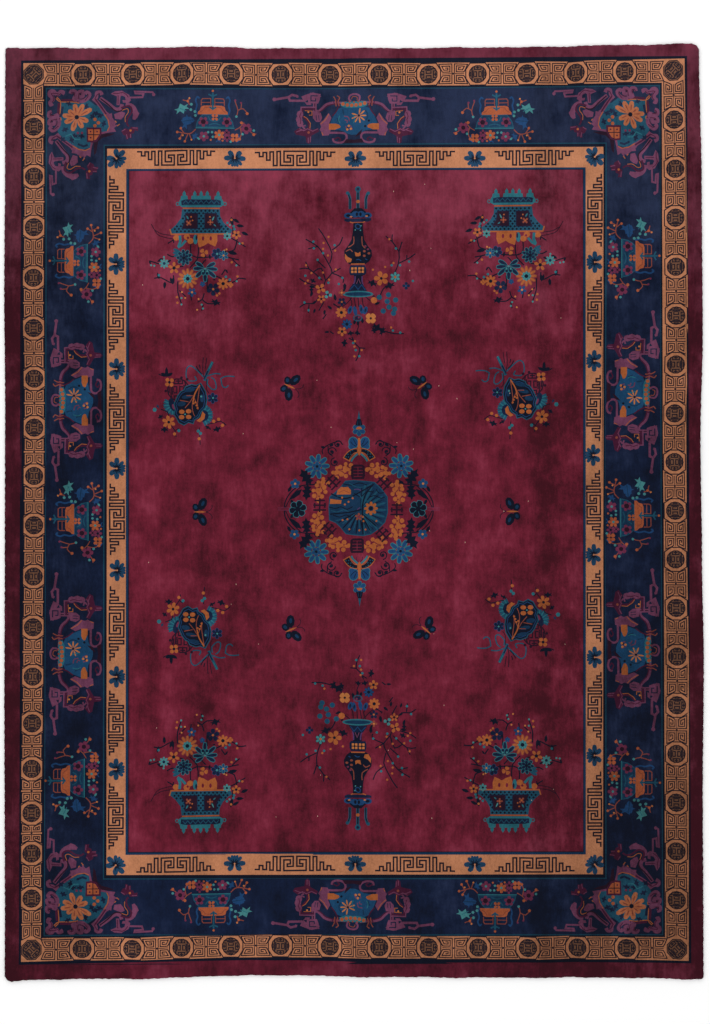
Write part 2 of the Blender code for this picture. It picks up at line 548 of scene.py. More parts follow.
def corner_wing():
    """The scrolls, ribbons and long tail on one side of the cartouche."""
    art = Sketch()
    art.sweep("plum", 13, [(56, 48), (96, 45), (126, 47), (150, 38)])
    art.sweeps("mauve", 14, [
        [(20, 42), (16, 24), (14, 10), (26, 10), (32, 20), (44, 22), (52, 12), (62, 14), (58, 22)],
        [(90, 18), (94, 8), (108, 8), (110, 24), (104, 38), (118, 44)],
        [(118, 44), (120, 14), (136, 8), (138, 26), (126, 30)],
        [(120, 46), (140, 46), (158, 34), (164, 20), (154, 12), (146, 18)],
        [(178, 46), (190, 30), (192, 14), (206, 12), (212, 22)],
    ])
    art.sweeps("plum", 3.4, [
        [(20, 44), (18, 26), (20, 16), (30, 24), (44, 26), (54, 18)],
        [(92, 20), (96, 12), (106, 14), (104, 28)], [(120, 38), (124, 16), (134, 14)],
        [(146, 44), (158, 28), (156, 18)], [(184, 38), (194, 20), (204, 16)],
    ], 2)
    art.lines("umber", 3, [[(24, 40), (34, 30), (44, 34)], [(98, 16), (104, 20)], [(126, 16), (130, 22)]])
    art.sweep("orange", 3.4, [(34, 38), (52, 52), (96, 50), (124, 54)])
    # the ribbons that cross to the tail
    art.sweep("mauve", 14, [(184, 40), (206, 66), (224, 92), (236, 100)])
    art.sweep("plum", 6, [(186, 38), (212, 74), (228, 98)])
    art.sweep("mauve", 14, [(204, 34), (238, 58), (264, 78), (284, 74), (290, 58)])
    art.sweep("umber", 5, [(206, 36), (238, 62), (262, 84), (286, 84), (296, 70)])
    # the cloud above, with the long thin tail
    art.fill("mauve", [
        (246, 18), (262, 8), (290, 5), (300, 12), (318, 22), (324, 44), (316, 53), (294, 52), (291, 42),
        (304, 42), (302, 30), (290, 24), (284, 28), (280, 62), (268, 62), (270, 28),
    ])
    art.sweeps("plum", 3, [
        [(254, 16), (276, 16), (292, 12), (306, 20), (314, 32)], [(275, 24), (274, 58)],
    ], 2)
    art.sweep("mauve", 12, [(304, 58), (324, 62), (338, 74), (346, 92)], 2)
    art.line("mauve", 7, [(318, 33), (370, 33), (374, 20), (342, 18), (340, 10), (410, 13), (414, 20)])
    art.dots("mauve", 7, [(414, 22)])
    # the fringed body and the curl beyond it
    art.fill("mauve", [
        (216, 96), (224, 100), (250, 94), (252, 112), (266, 130), (262, 140), (276, 138), (258, 152),
        (266, 166), (236, 170), (208, 176), (206, 168), (230, 164), (238, 146), (232, 120),
    ])
    art.lines("orange", 3.2, [
        [(222, 98), (236, 122), (240, 148), (232, 164)], [(262, 124), (268, 130)], [(270, 144), (280, 136)],
    ])
    art.fill("mauve", [(258, 98), (288, 86), (302, 92), (298, 104), (286, 118), (262, 116)])
    art.fill("mauve", [(320, 64), (340, 76), (357, 96), (350, 112), (340, 122), (330, 118), (332, 98)])
    art.sweep("plum", 7, [(286, 72), (318, 66), (328, 88), (312, 112), (308, 132), (316, 146)])
    art.sweep("orange", 2.8, [(290, 82), (310, 76), (314, 90), (302, 108), (302, 128)])
    # the dark tasselled flower
    art.fill("plum", [
        (286, 164), (300, 152), (316, 158), (324, 148), (352, 150), (352, 166), (340, 162), (334, 174),
        (326, 174), (326, 192), (316, 190), (312, 196), (304, 196), (304, 182), (294, 178),
    ])
    art.lines("mauve", 3, [
        [(288, 164), (302, 156)], [(306, 176), (310, 194)], [(322, 176), (322, 190)],
        [(330, 152), (350, 154)],
    ])
    art.dots("orange", 5, [(322, 162)])
    return art


tell("corner wing", corner_wing())

# %% The whole corner cartouche


def corner_cartouche():
    """The pond in the corner, a wing to each side, and the big apricot flower with its leaves."""
    art = Sketch()
    wing = corner_wing()
    art.fill("umber", [
        (200, 172), (262, 174), (238, 184), (212, 190), (196, 206), (188, 250), (180, 258), (178, 204),
    ])
    art.fill("sea", [
        (50, 54), (95, 49), (124, 54), (160, 43), (187, 63), (208, 63), (223, 93), (232, 117), (238, 146),
        (232, 166), (208, 174), (178, 206), (162, 230), (136, 236), (112, 228), (84, 216), (58, 204),
        (50, 190), (40, 164), (46, 140), (42, 111), (51, 99), (54, 70),
    ])
    art.fill("sea", [(60, 190), (90, 180), (120, 220), (100, 222)])
    art.put(wing)
    art.put(wing, turn=-90, flip=True)
    art.put(star_leaf("navy", 16), (84, 60), 200)
    for x, y, turn in (
        (190, 92, 20), (216, 134, -70), (70, 162, 150), (104, 180, 10), (132, 186, 190), (154, 68, 100),
        (62, 196, 40), (206, 106, 160), (92, 200, 250), (172, 104, 300),
    ):
        art.put(star_leaf("navy", 18), (x, y), turn)
    art.line("navy", 9, [(60, 70), (56, 96), (50, 112)])
    art.line("navy", 8, [(118, 214), (140, 224), (156, 218)])
    art.line("teal", 4, [(70, 186), (92, 176), (106, 196), (126, 196)])
    for turn, length in (
        (-8, 46), (27, 50), (61, 58), (111, 42), (152, 42), (-162, 50), (-117, 46), (-85, 48), (-50, 36),
    ):
        one = petal("apricot", 1.16 * length, 21)
        one.fill("rust", PETAL * (5, length * 0.6) + (0, length * 0.25))
        art.put(one, (114, 109), turn + 180)
    art.dots("ink", 9, [(114, 109)], 8)
    art.dots("salmon", 7.4, [(184, 118), (197, 131), (184, 143)])
    art.dots("rose", 5.4, [(118, 171), (134, 171)])
    art.fill("plum", [(151, 150), (209, 150), (209, 176), (192, 204), (176, 209), (153, 207)])
    art.fill("salmon", [(157, 157), (202, 157), (202, 175), (188, 197), (174, 202), (158, 200)])
    art.lines("ink", 3.2, [[(179, 154), (179, 202)], [(155, 178), (202, 178)]])
    art.dots("plum", 3.6, [(167, 166), (192, 166), (167, 190)])
    return art


tell("corner cartouche", corner_cartouche())

# %% [markdown]
# Halfway between the corners and the middle of each side lies a smaller cloud cartouche. It is the same on
# both sides of its axis, so half is drawn. Here x runs along the band and y points in towards the field.

# %% One half of the middle cartouche


def cartouche_half():
    """Everything on one side of the axis: tail, cloud, collar ribbon, square curl, tassel and wing."""
    art = Sketch()
    # the tail of thin bars
    art.line("mauve", 9, [(310, -72), (256, -80), (242, -90), (222, -86), (220, -80)])
    art.dots("mauve", 8, [(311, -73)])
    art.line("mauve", 9, [(256, -80), (250, -67), (196, -67)])
    # the cloud head and the ribbon that swings out to the collar
    art.fill("mauve", [
        (196, -66), (206, -84), (184, -92), (160, -99), (140, -94), (128, -84), (146, -76), (146, -32),
        (134, -28), (156, -16), (160, -40), (160, -72), (176, -74), (192, -62), (170, -58), (166, -50),
        (184, -50),
    ])
    art.lines("umber", 3.4, [[(153, -78), (153, -26)], [(150, -86), (180, -82)]])
    art.sweep("mauve", 9, [(140, -24), (126, -36), (110, -52), (84, -60), (52, -60), (28, -62)])
    art.sweep("plum", 4, [(144, -18), (124, -30), (106, -46), (82, -54), (54, -55)])
    art.sweep("plum", 5, [(58, -52), (68, -28), (84, -8)])
    art.sweeps("rust", 4, [
        [(58, -48), (62, -66), (56, -80), (66, -88)], [(70, -46), (72, -70), (80, -84)],
    ], 2)
    art.sweeps("plum", 4, [[(64, -50), (68, -64), (64, -78)], [(76, -52), (80, -66)]], 2)
    # the dark square curl with its yellow eye
    art.line("mauve", 5, [(150, -41), (206, -42), (208, -14)])
    art.line("plum", 7, [(152, -34), (201, -35), (201, -8), (178, 16), (175, 48)])
    art.line("orange", 2.8, [(192, -28), (164, -26), (164, -10), (176, -10)])
    art.line("orange", 2.8, [(196, -6), (184, 2), (170, 22), (172, 44)])
    art.dots("amber", 4, [(178, -22)])
    art.fill("mauve", [(208, -22), (222, 2), (212, 12), (202, 16), (206, -4)])
    art.ovals("mauve", (13, 15), [(211, -14), (214, 6), (210, 22)], 0, 8)
    art.line("plum", 3, [(206, -22), (212, -6), (207, 8), (210, 24)])
    art.fill("mauve", [(130, -94), (170, -98), (182, -84), (178, -56), (140, -56), (134, -70)])
    art.line("navy", 4, [(142, -86), (168, -86), (168, -66), (150, -66), (150, -76)])
    art.fill("mauve", [(162, -28), (130, -20), (124, 0), (132, 16), (148, 16), (160, 2)])
    art.lines("navy", 2.6, [[(138, -10), (136, 10)], [(148, -10), (146, 10)]])
    art.sweep("mauve", 6, [(172, 52), (190, 44), (200, 34), (188, 30)])
    # the tasselled flower
    tassel = Sketch()
    tassel.fill("plum", [
        (222, 58), (206, 46), (192, 52), (180, 46), (164, 54), (148, 48), (144, 58), (158, 66), (168, 72),
        (170, 92), (176, 98), (184, 92), (186, 74), (204, 70), (216, 68),
    ])
    tassel.line("mauve", 2.8, [(216, 60), (200, 54), (186, 54)])
    tassel.line("mauve", 2.8, [(178, 78), (178, 94)])
    tassel.line("mauve", 2.4, [(148, 50), (164, 58), (180, 50), (192, 56), (206, 49)])
    tassel.line("mauve", 2.4, [(171, 74), (172, 92)])
    tassel.dots("rust", 4.4, [(177, 62)])
    art.put(tassel, (-46, -20), size=1.26)
    # the wing, the orange boss and the rolled foot
    art.fill("mauve", [
        (99, -20), (119, 8), (133, 20), (128, 36), (134, 46), (126, 58), (124, 70), (98, 68), (90, 46),
        (97, 22), (88, 0),
    ])
    art.line("orange", 2.6, [(98, -16), (112, 8), (130, 24)])
    art.line("orange", 2.6, [(126, 56), (120, 68)])
    art.fill("orange", [(98, 22), (98, 46), (74, 46), (66, 42), (54, 38), (52, 32), (58, 26), (70, 22)])
    art.sweep("mauve", 8, [(100, 58), (60, 58), (36, 60), (28, 74), (36, 90), (58, 97), (78, 92), (82, 80)])
    art.sweep("plum", 5, [(78, 84), (62, 76), (52, 84), (62, 90)])
    return art


tell("half of a middle cartouche", cartouche_half())

# %% The whole middle cartouche


def middle_cartouche():
    """The blue pond, both halves round it, the dotted collar, and small marks on the pond."""
    art = Sketch()
    half_body = [(0, -46), (44, -44), (64, -36), (82, -4), (92, 20), (82, 44), (44, 50), (26, 60), (10, 66)]
    art.fill("pond", half_body + [(-x, y) for x, y in half_body[::-1]])
    for turn in (-30, -10, 12, 34):
        art.put(petal("deep_teal", 34, 5), (0, -34), 180 + turn)
    art.pair(cartouche_half())
    art.fill("teal", [(-52, -48), (-50, -64), (50, -64), (52, -48), (30, -40), (-30, -40)])
    art.dots("salmon", 7.4, [(-42, -56), (-25, -52), (-8, -50), (9, -50), (26, -52), (43, -56)], 8)
    art.dots("rust", 4.4, [(-17, -64), (0, -62), (17, -64)])
    art.sweep("mauve", 7, [(-20, -66), (-22, -84), (-6, -93), (14, -90), (20, -76), (12, -66)])
    art.sweep("rust", 3, [(-12, -68), (-12, -80), (4, -84), (10, -74)])
    marks = Sketch()
    marks.sweeps("mauve", 4, [
        [(-38, -8), (-22, -4), (-18, 12)], [(-36, 6), (-26, 10), (-28, 18)], [(-32, 30), (-28, 46)],
        [(-14, 28), (-8, 40), (-6, 46)], [(-22, 34), (-20, 46)],
    ])
    marks.put(fan("amber", 30, 8, -170, 110, 6), (19, -8))
    marks.dots("ink", 5, [(19, -8), (-24, 40), (44, 34), (58, 12)])
    marks.dots("amber", 5, [(-26, 44), (-12, 42), (-20, 30)])
    marks.sweeps("deep_teal", 5, [
        [(-44, -36), (-40, -14)], [(44, -30), (54, -10), (48, 10)], [(-66, 0), (-58, 20)],
    ])
    marks.sweeps("teal", 3, [[(-56, -10), (-60, 8), (-54, 20)], [(-4, -12), (2, 6), (-2, 20)]])
    marks.fill("umber", [(14, 62), (34, 44), (26, 66), (4, 76)])
    art.put(marks, flip=True)
    art.fill("umber", [(-40, 98), (-30, 82), (0, 86), (30, 82), (40, 98)])
    return art


tell("middle cartouche", middle_cartouche())

# %% [markdown]
# Between the cartouches stand flower vessels: a handled orange stand over a domed bowl, with a row of
# little blossoms on its rim and sprays to both sides. y again points in towards the field.

# %% The border vessel


def border_vessel():
    """The bowl, the stand with its looped handles, the blossoms on the rim and the two sprays."""
    art = Sketch()
    bowl = [(8, -8), (56, -8), (68, 4), (78, 20), (83, 42)]
    art.fill("sea", bowl[::-1] + [(16 - x, y) for x, y in bowl[1:]])
    inner = [(8, -5), (54, -5), (65, 7), (74, 22), (79, 39)]
    art.fill("deep_teal", inner[::-1] + [(16 - x, y) for x, y in inner[1:]])
    art.sweeps("sea", 4.4, [[(-18, 0), (-8, 16), (18, 18), (32, 2)], [(-14, 34), (8, 28), (30, 34)]])
    for x in (-37, 55):
        art.put(blossom(20, 5, "rose", "umber", slim=0.8, core=0.5), (x, 21))
    art.bloom((8, 4), 15, 4, "salmon", "ink", turn=45, slim=0.65, core=0.2)
    art.line("teal", 3.6, [(-67, 45), (85, 45)])
    # the stand with its two looped handles and the spire between them
    half = Sketch()
    half.sweep("blue", 6.5, [(60, -6), (66, -24), (62, -44), (67, -62), (60, -76), (52, -70)])
    half.line("rust", 3.4, [(7, -69), (40, -69), (45, -62), (45, -42)])
    half.line("rust", 3, [(8, -54), (44, -54)])
    half.line("rust", 3, [(8, -68), (8, -44)])
    half.fill("salmon", [(0, -8), (59, -8), (58, -17), (50, -24), (46, -38), (34, -42), (0, -42)])
    half.line("rust", 2.8, [(10, -36), (32, -34), (40, -22), (52, -16)])
    art.pair(half)
    art.line("sea", 7, [(0, -92), (0, -24)])
    art.lines("sea", 6, [[(-17, -86), (0, -78), (17, -86)], [(-13, -36), (0, -28), (13, -36)]])
    art.dots("salmon", 5, [(0, -99)])
    # little blossoms along the rim
    art.bloom((86, 82), 19, 4, "salmon", "ink", slim=0.8, turn=45, core=0.2)
    art.bloom((56, 82), 17, 5, "rose", "ink", slim=0.7)
    art.bloom((54, 62), 13, 4, "rose", "umber", slim=0.7)
    art.bloom((25, 72), 21, 6, "salmon", "pale_teal", slim=0.8, core=0.25)
    art.bloom((-35, 78), 20, 5, "rose", "pale_teal", slim=0.85, core=0.25)
    art.dots("pale_teal", 5.2, [(0, 80), (-3, 62), (-18, 62), (70, 98)])
    art.dots("salmon", 4.4, [(-8, 92), (38, 94)])
    art.put(leaf("pale_teal", 18, 9), (-50, 92), 130)
    art.put(star_leaf("blue", 20), (-68, 80), 120)
    art.sweeps("blue", 4, [[(94, 100), (104, 90), (100, 70)], [(12, 100), (22, 94), (30, 100)]])
    # the leafy spray to one side
    art.ovals("blue", (25, 12), [(-96, 14)], 8, 9)
    art.put(star_leaf("blue", 34), (-100, 24), 110)
    art.line("deep_teal", 3, [(-72, 14), (-120, 20)])
    art.put(star_leaf("pale_teal", 34), (-120, -26), 160)
    art.line("teal", 3, [(-104, -20), (-130, -32)])
    art.dots("pale_teal", 6, [(-68, -3), (-70, -18), (-86, -25), (-84, -46)])
    art.sweeps("rust", 3.8, [
        [(-67, 50), (-84, 66), (-104, 68), (-136, 60)], [(-98, 70), (-110, 98)], [(-120, 66), (-128, 84)],
        [(-92, 70), (-84, 92)], [(-114, 64), (-126, 48)], [(-88, -70), (-102, -60), (-118, -64)],
        [(-98, -62), (-92, -44)],
    ], 2)
    art.dots("salmon", 5.4, [(-110, 98), (-130, 86), (-140, 60), (-126, 46), (-98, -58)])
    art.dots("amber", 3.8, [(-84, 92), (-118, 74), (-92, -70)])
    # the twiggy spray to the other side
    art.sweeps("rust", 3.6, [
        [(92, -2), (98, -26), (86, -62)], [(98, -26), (118, -34), (134, -18)], [(110, -31), (112, -54)],
        [(86, 52), (106, 40), (122, 20)], [(140, 48), (154, 60), (170, 64)],
        [(106, 40), (112, 66), (104, 84)],
    ], 2)
    art.dots("salmon", 6.2, [(112, 22), (160, 66), (104, 86), (134, -16)])
    art.bloom((131, 43), 22, 5, "rose", "umber", slim=0.9, core=0.4)
    art.dots("pale_teal", 5.4, [(92, -1), (160, 50), (116, 66)])
    art.dots("rose", 4.4, [(110, -56), (88, -64)])
    return art


tell("border vessel", border_vessel())

# %% The main border put together
# Middles of the border pieces: x, y in mm and the turn that points their flowers at the field.
# A vessel also says whether it is flipped.
CARTOUCHES = (
    (0, 1546, 180), (-4, -1540, 0), (-1089, 438, -90), (-1089, -552, -90), (1094, 470, 90),
    (1094, -537, 90),
)
VESSELS = (
    (-551, 1548, 180, True), (559, 1548, 180, False), (-547, -1540, 0, True), (551, -1540, 0, False),
    (-1088, 985, -90, False), (-1088, -26, -90, False), (-1097, -1046, -90, True), (1094, 1000, 90, True),
    (1094, -12, 90, True), (1094, -1056, 90, False),
)


def draw_main_border(art):
    """Four corner cartouches, six middle ones and ten vessels on the navy band."""
    left, right, foot, head = MAIN_NAVY[1:]
    art.puts(corner_cartouche(), (
        (left, head, 180, True), (right, head, 180), (left, foot), (right, foot, 0, True),
    ))
    art.puts(middle_cartouche(), CARTOUCHES)
    art.puts(border_vessel(), VESSELS)


print("middle cartouches:", len(CARTOUCHES), "vessels:", len(VESSELS))

# %% [markdown]
# The four corners of the field hold flower baskets on lobed stands. The basket is drawn with its rim along
# x, the foot below it and the flowers above, then placed four times: upright at the foot of the rug, upside
# down at its head, and flipped on one side.

# %% The basket's stand and body


def basket_stand():
    """The lobed stand, the netted body with two dark windows, and the petals over its rim."""
    art = Sketch()
    flame = np.array([
        (-15, -134), (-13, -148), (-6, -150), (-7, -158), (0, -169), (7, -158), (6, -150), (13, -148),
        (15, -134),
    ])
    for x in (-68, -26, -1, 23, 65):
        art.fill("teal", flame + (x, 0))
    art.fill("teal", [
        (-76, -104), (-88, -112), (-88, -128), (-80, -140), (-70, -134), (70, -134), (78, -140), (86, -128),
        (86, -112), (72, -104),
    ])
    art.fill("navy", [(-78, -112), (-80, -130), (-60, -134), (60, -134), (76, -130), (76, -112)])
    zigzag = [(x, -130 if k % 2 else -118) for k, x in enumerate(np.linspace(-72, 70, 15))]
    art.line("sea", 3.2, zigzag)
    art.line("teal_line", 3, [(-70, -114), (70, -114)])
    for x in (-94, 92):
        art.line("teal", 3.2, oval_points((x, -118), (6, 7), 0, 6), closed=True)
    art.line("orange", 4, [(-74, -100), (72, -100)])
    body = [
        (-76, -97), (72, -97), (74, -70), (87, -46), (106, -27), (122, -17), (117, -3), (-119, -3),
        (-122, -17), (-100, -36), (-80, -62),
    ]
    art.fill("sea", body)
    # the netting: rows of small dark holes, every second row half a hole further on
    rows = enumerate(range(-90, -6, 10))
    net = np.array([(x + 8 * (row % 2), y) for row, y in rows for x in range(-112, 112, 16)])
    edge = np.interp(net[:, 1], [-97, -62, -36, -17, -3], [66, 71, 90, 112, 112])
    art.ovals("ink", (5.2, 5.2), net[np.abs(net[:, 0]) < edge], 0, 4)
    art.fill("umber", [(-63, -80), (-14, -80), (-14, -20), (-77, -20), (-63, -52)])
    art.fill("umber", [(14, -80), (60, -80), (63, -48), (80, -26), (76, -20), (14, -20)])
    art.line("navy", 3, [(-63, -80), (-14, -80), (-14, -20), (-77, -20), (-63, -52)], closed=True)
    art.line("navy", 3, [(14, -80), (60, -80), (63, -48), (80, -24), (14, -20)], closed=True)
    art.bloom((-49, -42), 13, 4, "rust", "orange", slim=0.6, turn=40)
    art.put(leaf("teal", 18, 7), (-50, -56), 150)
    art.dots("orange", 3.4, [(-40, -66), (-34, -52), (34, -66)])
    art.bloom((36, -45), 12, 4, "rust", "orange", slim=0.6)
    art.put(leaf("pale_teal", 22, 6), (42, -50), 205)
    art.put(leaf("teal", 14, 6), (48, -38), 310)
    art.line("orange", 5, [(-124, -20), (-118, 0), (118, 0)])
    # petals and leaves that spill over the rim
    art.fill("orange", [
        (-14, 3), (63, 3), (64, 28), (56, 50), (38, 42), (28, 36), (12, 46), (-8, 53), (-13, 32),
    ])
    art.ovals("wine", (5, 9), [(8, 18), (38, 18)], 0, 7)
    art.ovals("orange", (13, 12), [(-98, 14), (-56, 12), (-42, 28)], 0, 8)
    art.ovals("wine", (5, 5), [(-52, 16)])
    art.line("teal", 11, [(-84, 6), (-82, 30), (-90, 50)])
    art.line("teal", 10, [(-60, 26), (-76, 44), (-92, 52)])
    art.ovals("teal", (9, 20), [(-22, 22)], 0, 9)
    art.ovals("navy", (4, 10), [(-18, 16)], 0, 7)
    return art


tell("basket stand", basket_stand())

# %% The whole flower basket
BASKET_BRANCHES = (
    [(-40, 40), (-40, 76), (-16, 92), (46, 90)], [(-10, 50), (-14, 98), (-44, 132)], [(2, 66), (18, 90)],
    [(141, 18), (131, 60), (104, 70)], [(118, 16), (148, 32), (174, 48)], [(96, 88), (118, 94), (148, 100)],
    [(122, 96), (136, 112), (152, 124)], [(58, 164), (120, 190), (146, 172), (176, 174)],
    [(80, 160), (95, 138)], [(26, 172), (24, 214), (46, 218)], [(-92, 184), (-92, 228), (-78, 272)],
    [(-86, 220), (-60, 246)], [(-186, 172), (-158, 170), (-128, 186), (-108, 188), (-110, 160)],
    [(-204, 104), (-166, 116)], [(-134, 78), (-114, 88), (-92, 84)], [(-92, 128), (-70, 126)],
    [(12, 232), (4, 256), (-14, 266)], [(4, 256), (24, 272), (54, 272)], [(8, 276), (2, 300)],
    [(-42, 232), (-38, 260)], [(124, 12), (124, -60)], [(-106, 20), (-132, 36)], [(-110, 18), (-108, 34)],
    [(20, 100), (4, 118), (2, 140)],
)
BASKET_TWIGS = ([(-198, -40), (-173, 0), (-144, 12), (-112, 18)], [(-186, -18), (-157, -2), (-120, 4)])
BASKET_LEAVES = (
    # x, y at the stalk, the way it points, its length
    (-143, 184, 5, 30), (-166, 176, 165, 28), (-110, 168, 5, 30), (-112, 196, 160, 30), (-150, 94, 60, 28),
    (-118, 100, 60, 20), (36, 100, 170, 22), (56, 102, 200, 22), (104, 68, 285, 40), (88, 60, 330, 26),
    (117, -68, 355, 34), (124, -60, 300, 30), (136, -34, 272, 32), (156, -10, 292, 32), (22, 218, 215, 26),
    (-18, 232, 110, 22), (-38, 244, 190, 20), (58, 180, 100, 14), (96, 138, 330, 18), (-200, 118, 160, 18),
)
BASKET_BERRIES = (
    ("teal", 5.6, [
        (-167, 160), (97, 167), (112, 178), (6, 197), (-8, 120), (102, -44), (127, -31), (130, -20),
    ]),
    ("pale_teal", 4.4, [
        (-198, 121), (-185, 123), (-147, 89), (139, 184), (138, 122), (-78, 250), (-78, 275), (2, 276),
        (7, 291), (150, 36), (112, -36),
    ]),
    ("orange", 5.2, [
        (162, 34), (118, -56), (71, 232), (62, 240), (142, 165), (120, 110), (-94, 268), (-96, 246),
    ]),
    ("amber", 4, [
        (-76, 227), (-63, 250), (-10, 254), (-16, 296), (91, 64), (100, 60),
    ]),
)


def flower_basket():
    """Branches, leaves and berries first, then the stand, then the flowers in front."""
    art = Sketch()
    art.sweeps("ink", 4.8, BASKET_BRANCHES, 2)
    art.sweeps("umber", 3, BASKET_TWIGS, 3)
    for x, y, turn, length in BASKET_LEAVES:
        art.put(leaf("ink", length, 0.46 * length), (x, y), turn)
    for yarn, radius, spots in BASKET_BERRIES:
        art.dots(yarn, radius, spots)
    art.put(star_leaf("ink", 24), (58, 264), 20)
    art.put(basket_stand())
    # the flowers, from the rim outwards
    art.bloom((11, 74), 17, 3, "orange", slim=0.75, turn=20)
    art.bloom((138, 2), 18, 5, "orange", "ink", slim=0.7)
    art.bloom((102, 8), 16, 6, "pale_teal", "ink", slim=0.8)
    art.put(fan("sea", 34, 3, 60, 110, 12), (-78, 70))
    art.bloom((-66, 92), 33, 9, "navy", None, "teal", turn=10)
    art.bloom((-68, 94), 21, 6, "navy", "ink", "teal")
    art.bloom((63, 78), 23, 6, "navy", "pale_teal", "blue", turn=15, core=0.2)
    art.bloom((88, 84), 20, 6, "blue", "amber", "pale_teal", slim=0.8, core=0.2)
    art.bloom((-146, 114), 20, 8, "pale_teal", "navy", slim=0.8)
    art.bloom((-107, 132), 24, 5, "orange", "ink", slim=0.6, turn=36)
    art.bloom((-53, 175), 42, 12, "orange", "teal", "rust", core=0.42)
    art.bloom((-53, 175), 20, 8, "pale_teal", "ink", slim=0.6, core=0.4)
    # the blue lotus: a fan of long petals
    for turn, length in (
        (62, 46), (96, 50), (132, 56), (-58, 44), (-92, 48), (-134, 52), (180, 56), (160, 30), (-160, 30),
    ):
        art.put(petal("navy", length, 19, "teal", 3.2), (16, 134), float(180 + turn))
    art.dots("pale_teal", 4, [(16, 136), (8, 146), (24, 146)])
    art.bloom((86, 194), 24, 8, "orange", "ink", slim=0.8)
    art.bloom((115, 198), 11, 4, "orange", slim=0.9)
    art.bloom((47, 216), 26, 5, "navy", "orange", slim=0.8, core=0.18)
    art.bloom((-36, 228), 18, 5, "blue", "amber", slim=0.7, core=0.25)
    art.bloom((6, 196), 11, 5, "blue", slim=0.9)
    return art


tell("flower basket", flower_basket())

# %% [markdown]
# A tall vase of plum blossom stands in the middle of the head and of the foot. Its foot with three prongs
# is below the rim, which lies along x, and its branches spread above and droop to both sides.

# %% The branches, stems, leaves and berries of the vase
VASE_BRANCHES = (
    [(-130, -36), (-125, -54), (-100, -83), (-109, -111), (-133, -154), (-156, -187), (-203, -216)],
    [(-109, -120), (-100, -159), (-118, -201), (-137, -235), (-154, -258)],
    [(-100, -173), (-71, -196), (-59, -225)], [(-100, -83), (-66, -102)],
    [(-100, -83), (-57, -64), (-57, -45)], [(-125, -54), (-142, -102), (-171, -88)],
    [(-137, -54), (-190, -100), (-227, -100)], [(-132, -26), (-199, -45), (-227, -64)],
    [(-125, -102), (-156, -130)], [(-156, -187), (-194, -178)], [(-190, -100), (-203, -128)],
    [(147, -88), (159, -121), (161, -168), (135, -206), (135, -235)], [(161, -168), (173, -206)],
    [(135, -206), (109, -228)], [(159, -121), (199, -140), (225, -159)], [(192, -135), (192, -154)],
    [(-227, 50), (-204, 36), (-171, 36), (-152, 12)], [(-95, 36), (-71, 55)], [(-133, 31), (-152, 64)],
    [(-190, 40), (-194, 73)], [(-123, 78), (-137, 97)],
    [(-24, 168), (-9, 197), (5, 211), (2, 239), (-9, 263)], [(5, 211), (28, 213)],
    [(104, 145), (142, 154), (180, 154)], [(88, 6), (100, -20), (118, -34)], [(-109, 146), (-95, 156)],
    [(-18, 182), (-36, 172)],
)
VASE_STEMS = (
    [(-30, 14), (-22, 40), (-40, 62)], [(-14, 14), (-8, 50)], [(2, 14), (4, 50)],
    [(18, 14), (22, 44), (40, 70)], [(32, 12), (56, 30), (78, 40)], [(6, 96), (2, 130), (-8, 152)],
    [(-22, 14), (-60, 50), (-96, 40)],
)
VASE_LEAVES = (
    (-176, -12, 20, 24), (57, 26, 200, 26), (66, 40, 250, 24), (-50, -44, 0, 30), (-190, -32, 280, 26),
    (-86, 26, 170, 28), (-100, 60, 130, 24), (-128, 60, 10, 22), (-166, 56, 20, 20), (-112, 148, 90, 20),
    (-16, 120, 200, 26), (20, 116, 170, 26), (-160, 26, 60, 20), (-50, -24, 20, 20), (0, 124, 180, 22),
)
VASE_BERRIES = (
    ("teal", 5.4, [
        (-173, -206), (-171, -180), (-135, -161), (-90, -192), (-156, -135), (-204, -73), (-149, -64),
        (-114, -45), (-73, -40), (-59, -64), (149, -180), (201, -128), (133, -114), (166, -114), (-19, 192),
        (-9, 220), (5, 244), (137, 142), (166, 150), (216, -52), (-208, 31), (-192, 62),
    ]),
    ("orange", 4.8, [
        (-114, -225), (-133, -201), (-135, -178), (-116, -152), (-88, -171), (-180, -83), (-194, -54),
        (-135, -85), (-111, -57), (-85, -97), (-201, -114), (-204, -43), (123, -216), (140, -123),
        (108, -107), (-12, 185), (-14, 206), (14, 220), (-14, 244), (130, 130), (60, -96),
    ]),
)
print("branches:", len(VASE_BRANCHES), "stems:", len(VASE_STEMS), "leaves:", len(VASE_LEAVES))

# %% The body of the vase


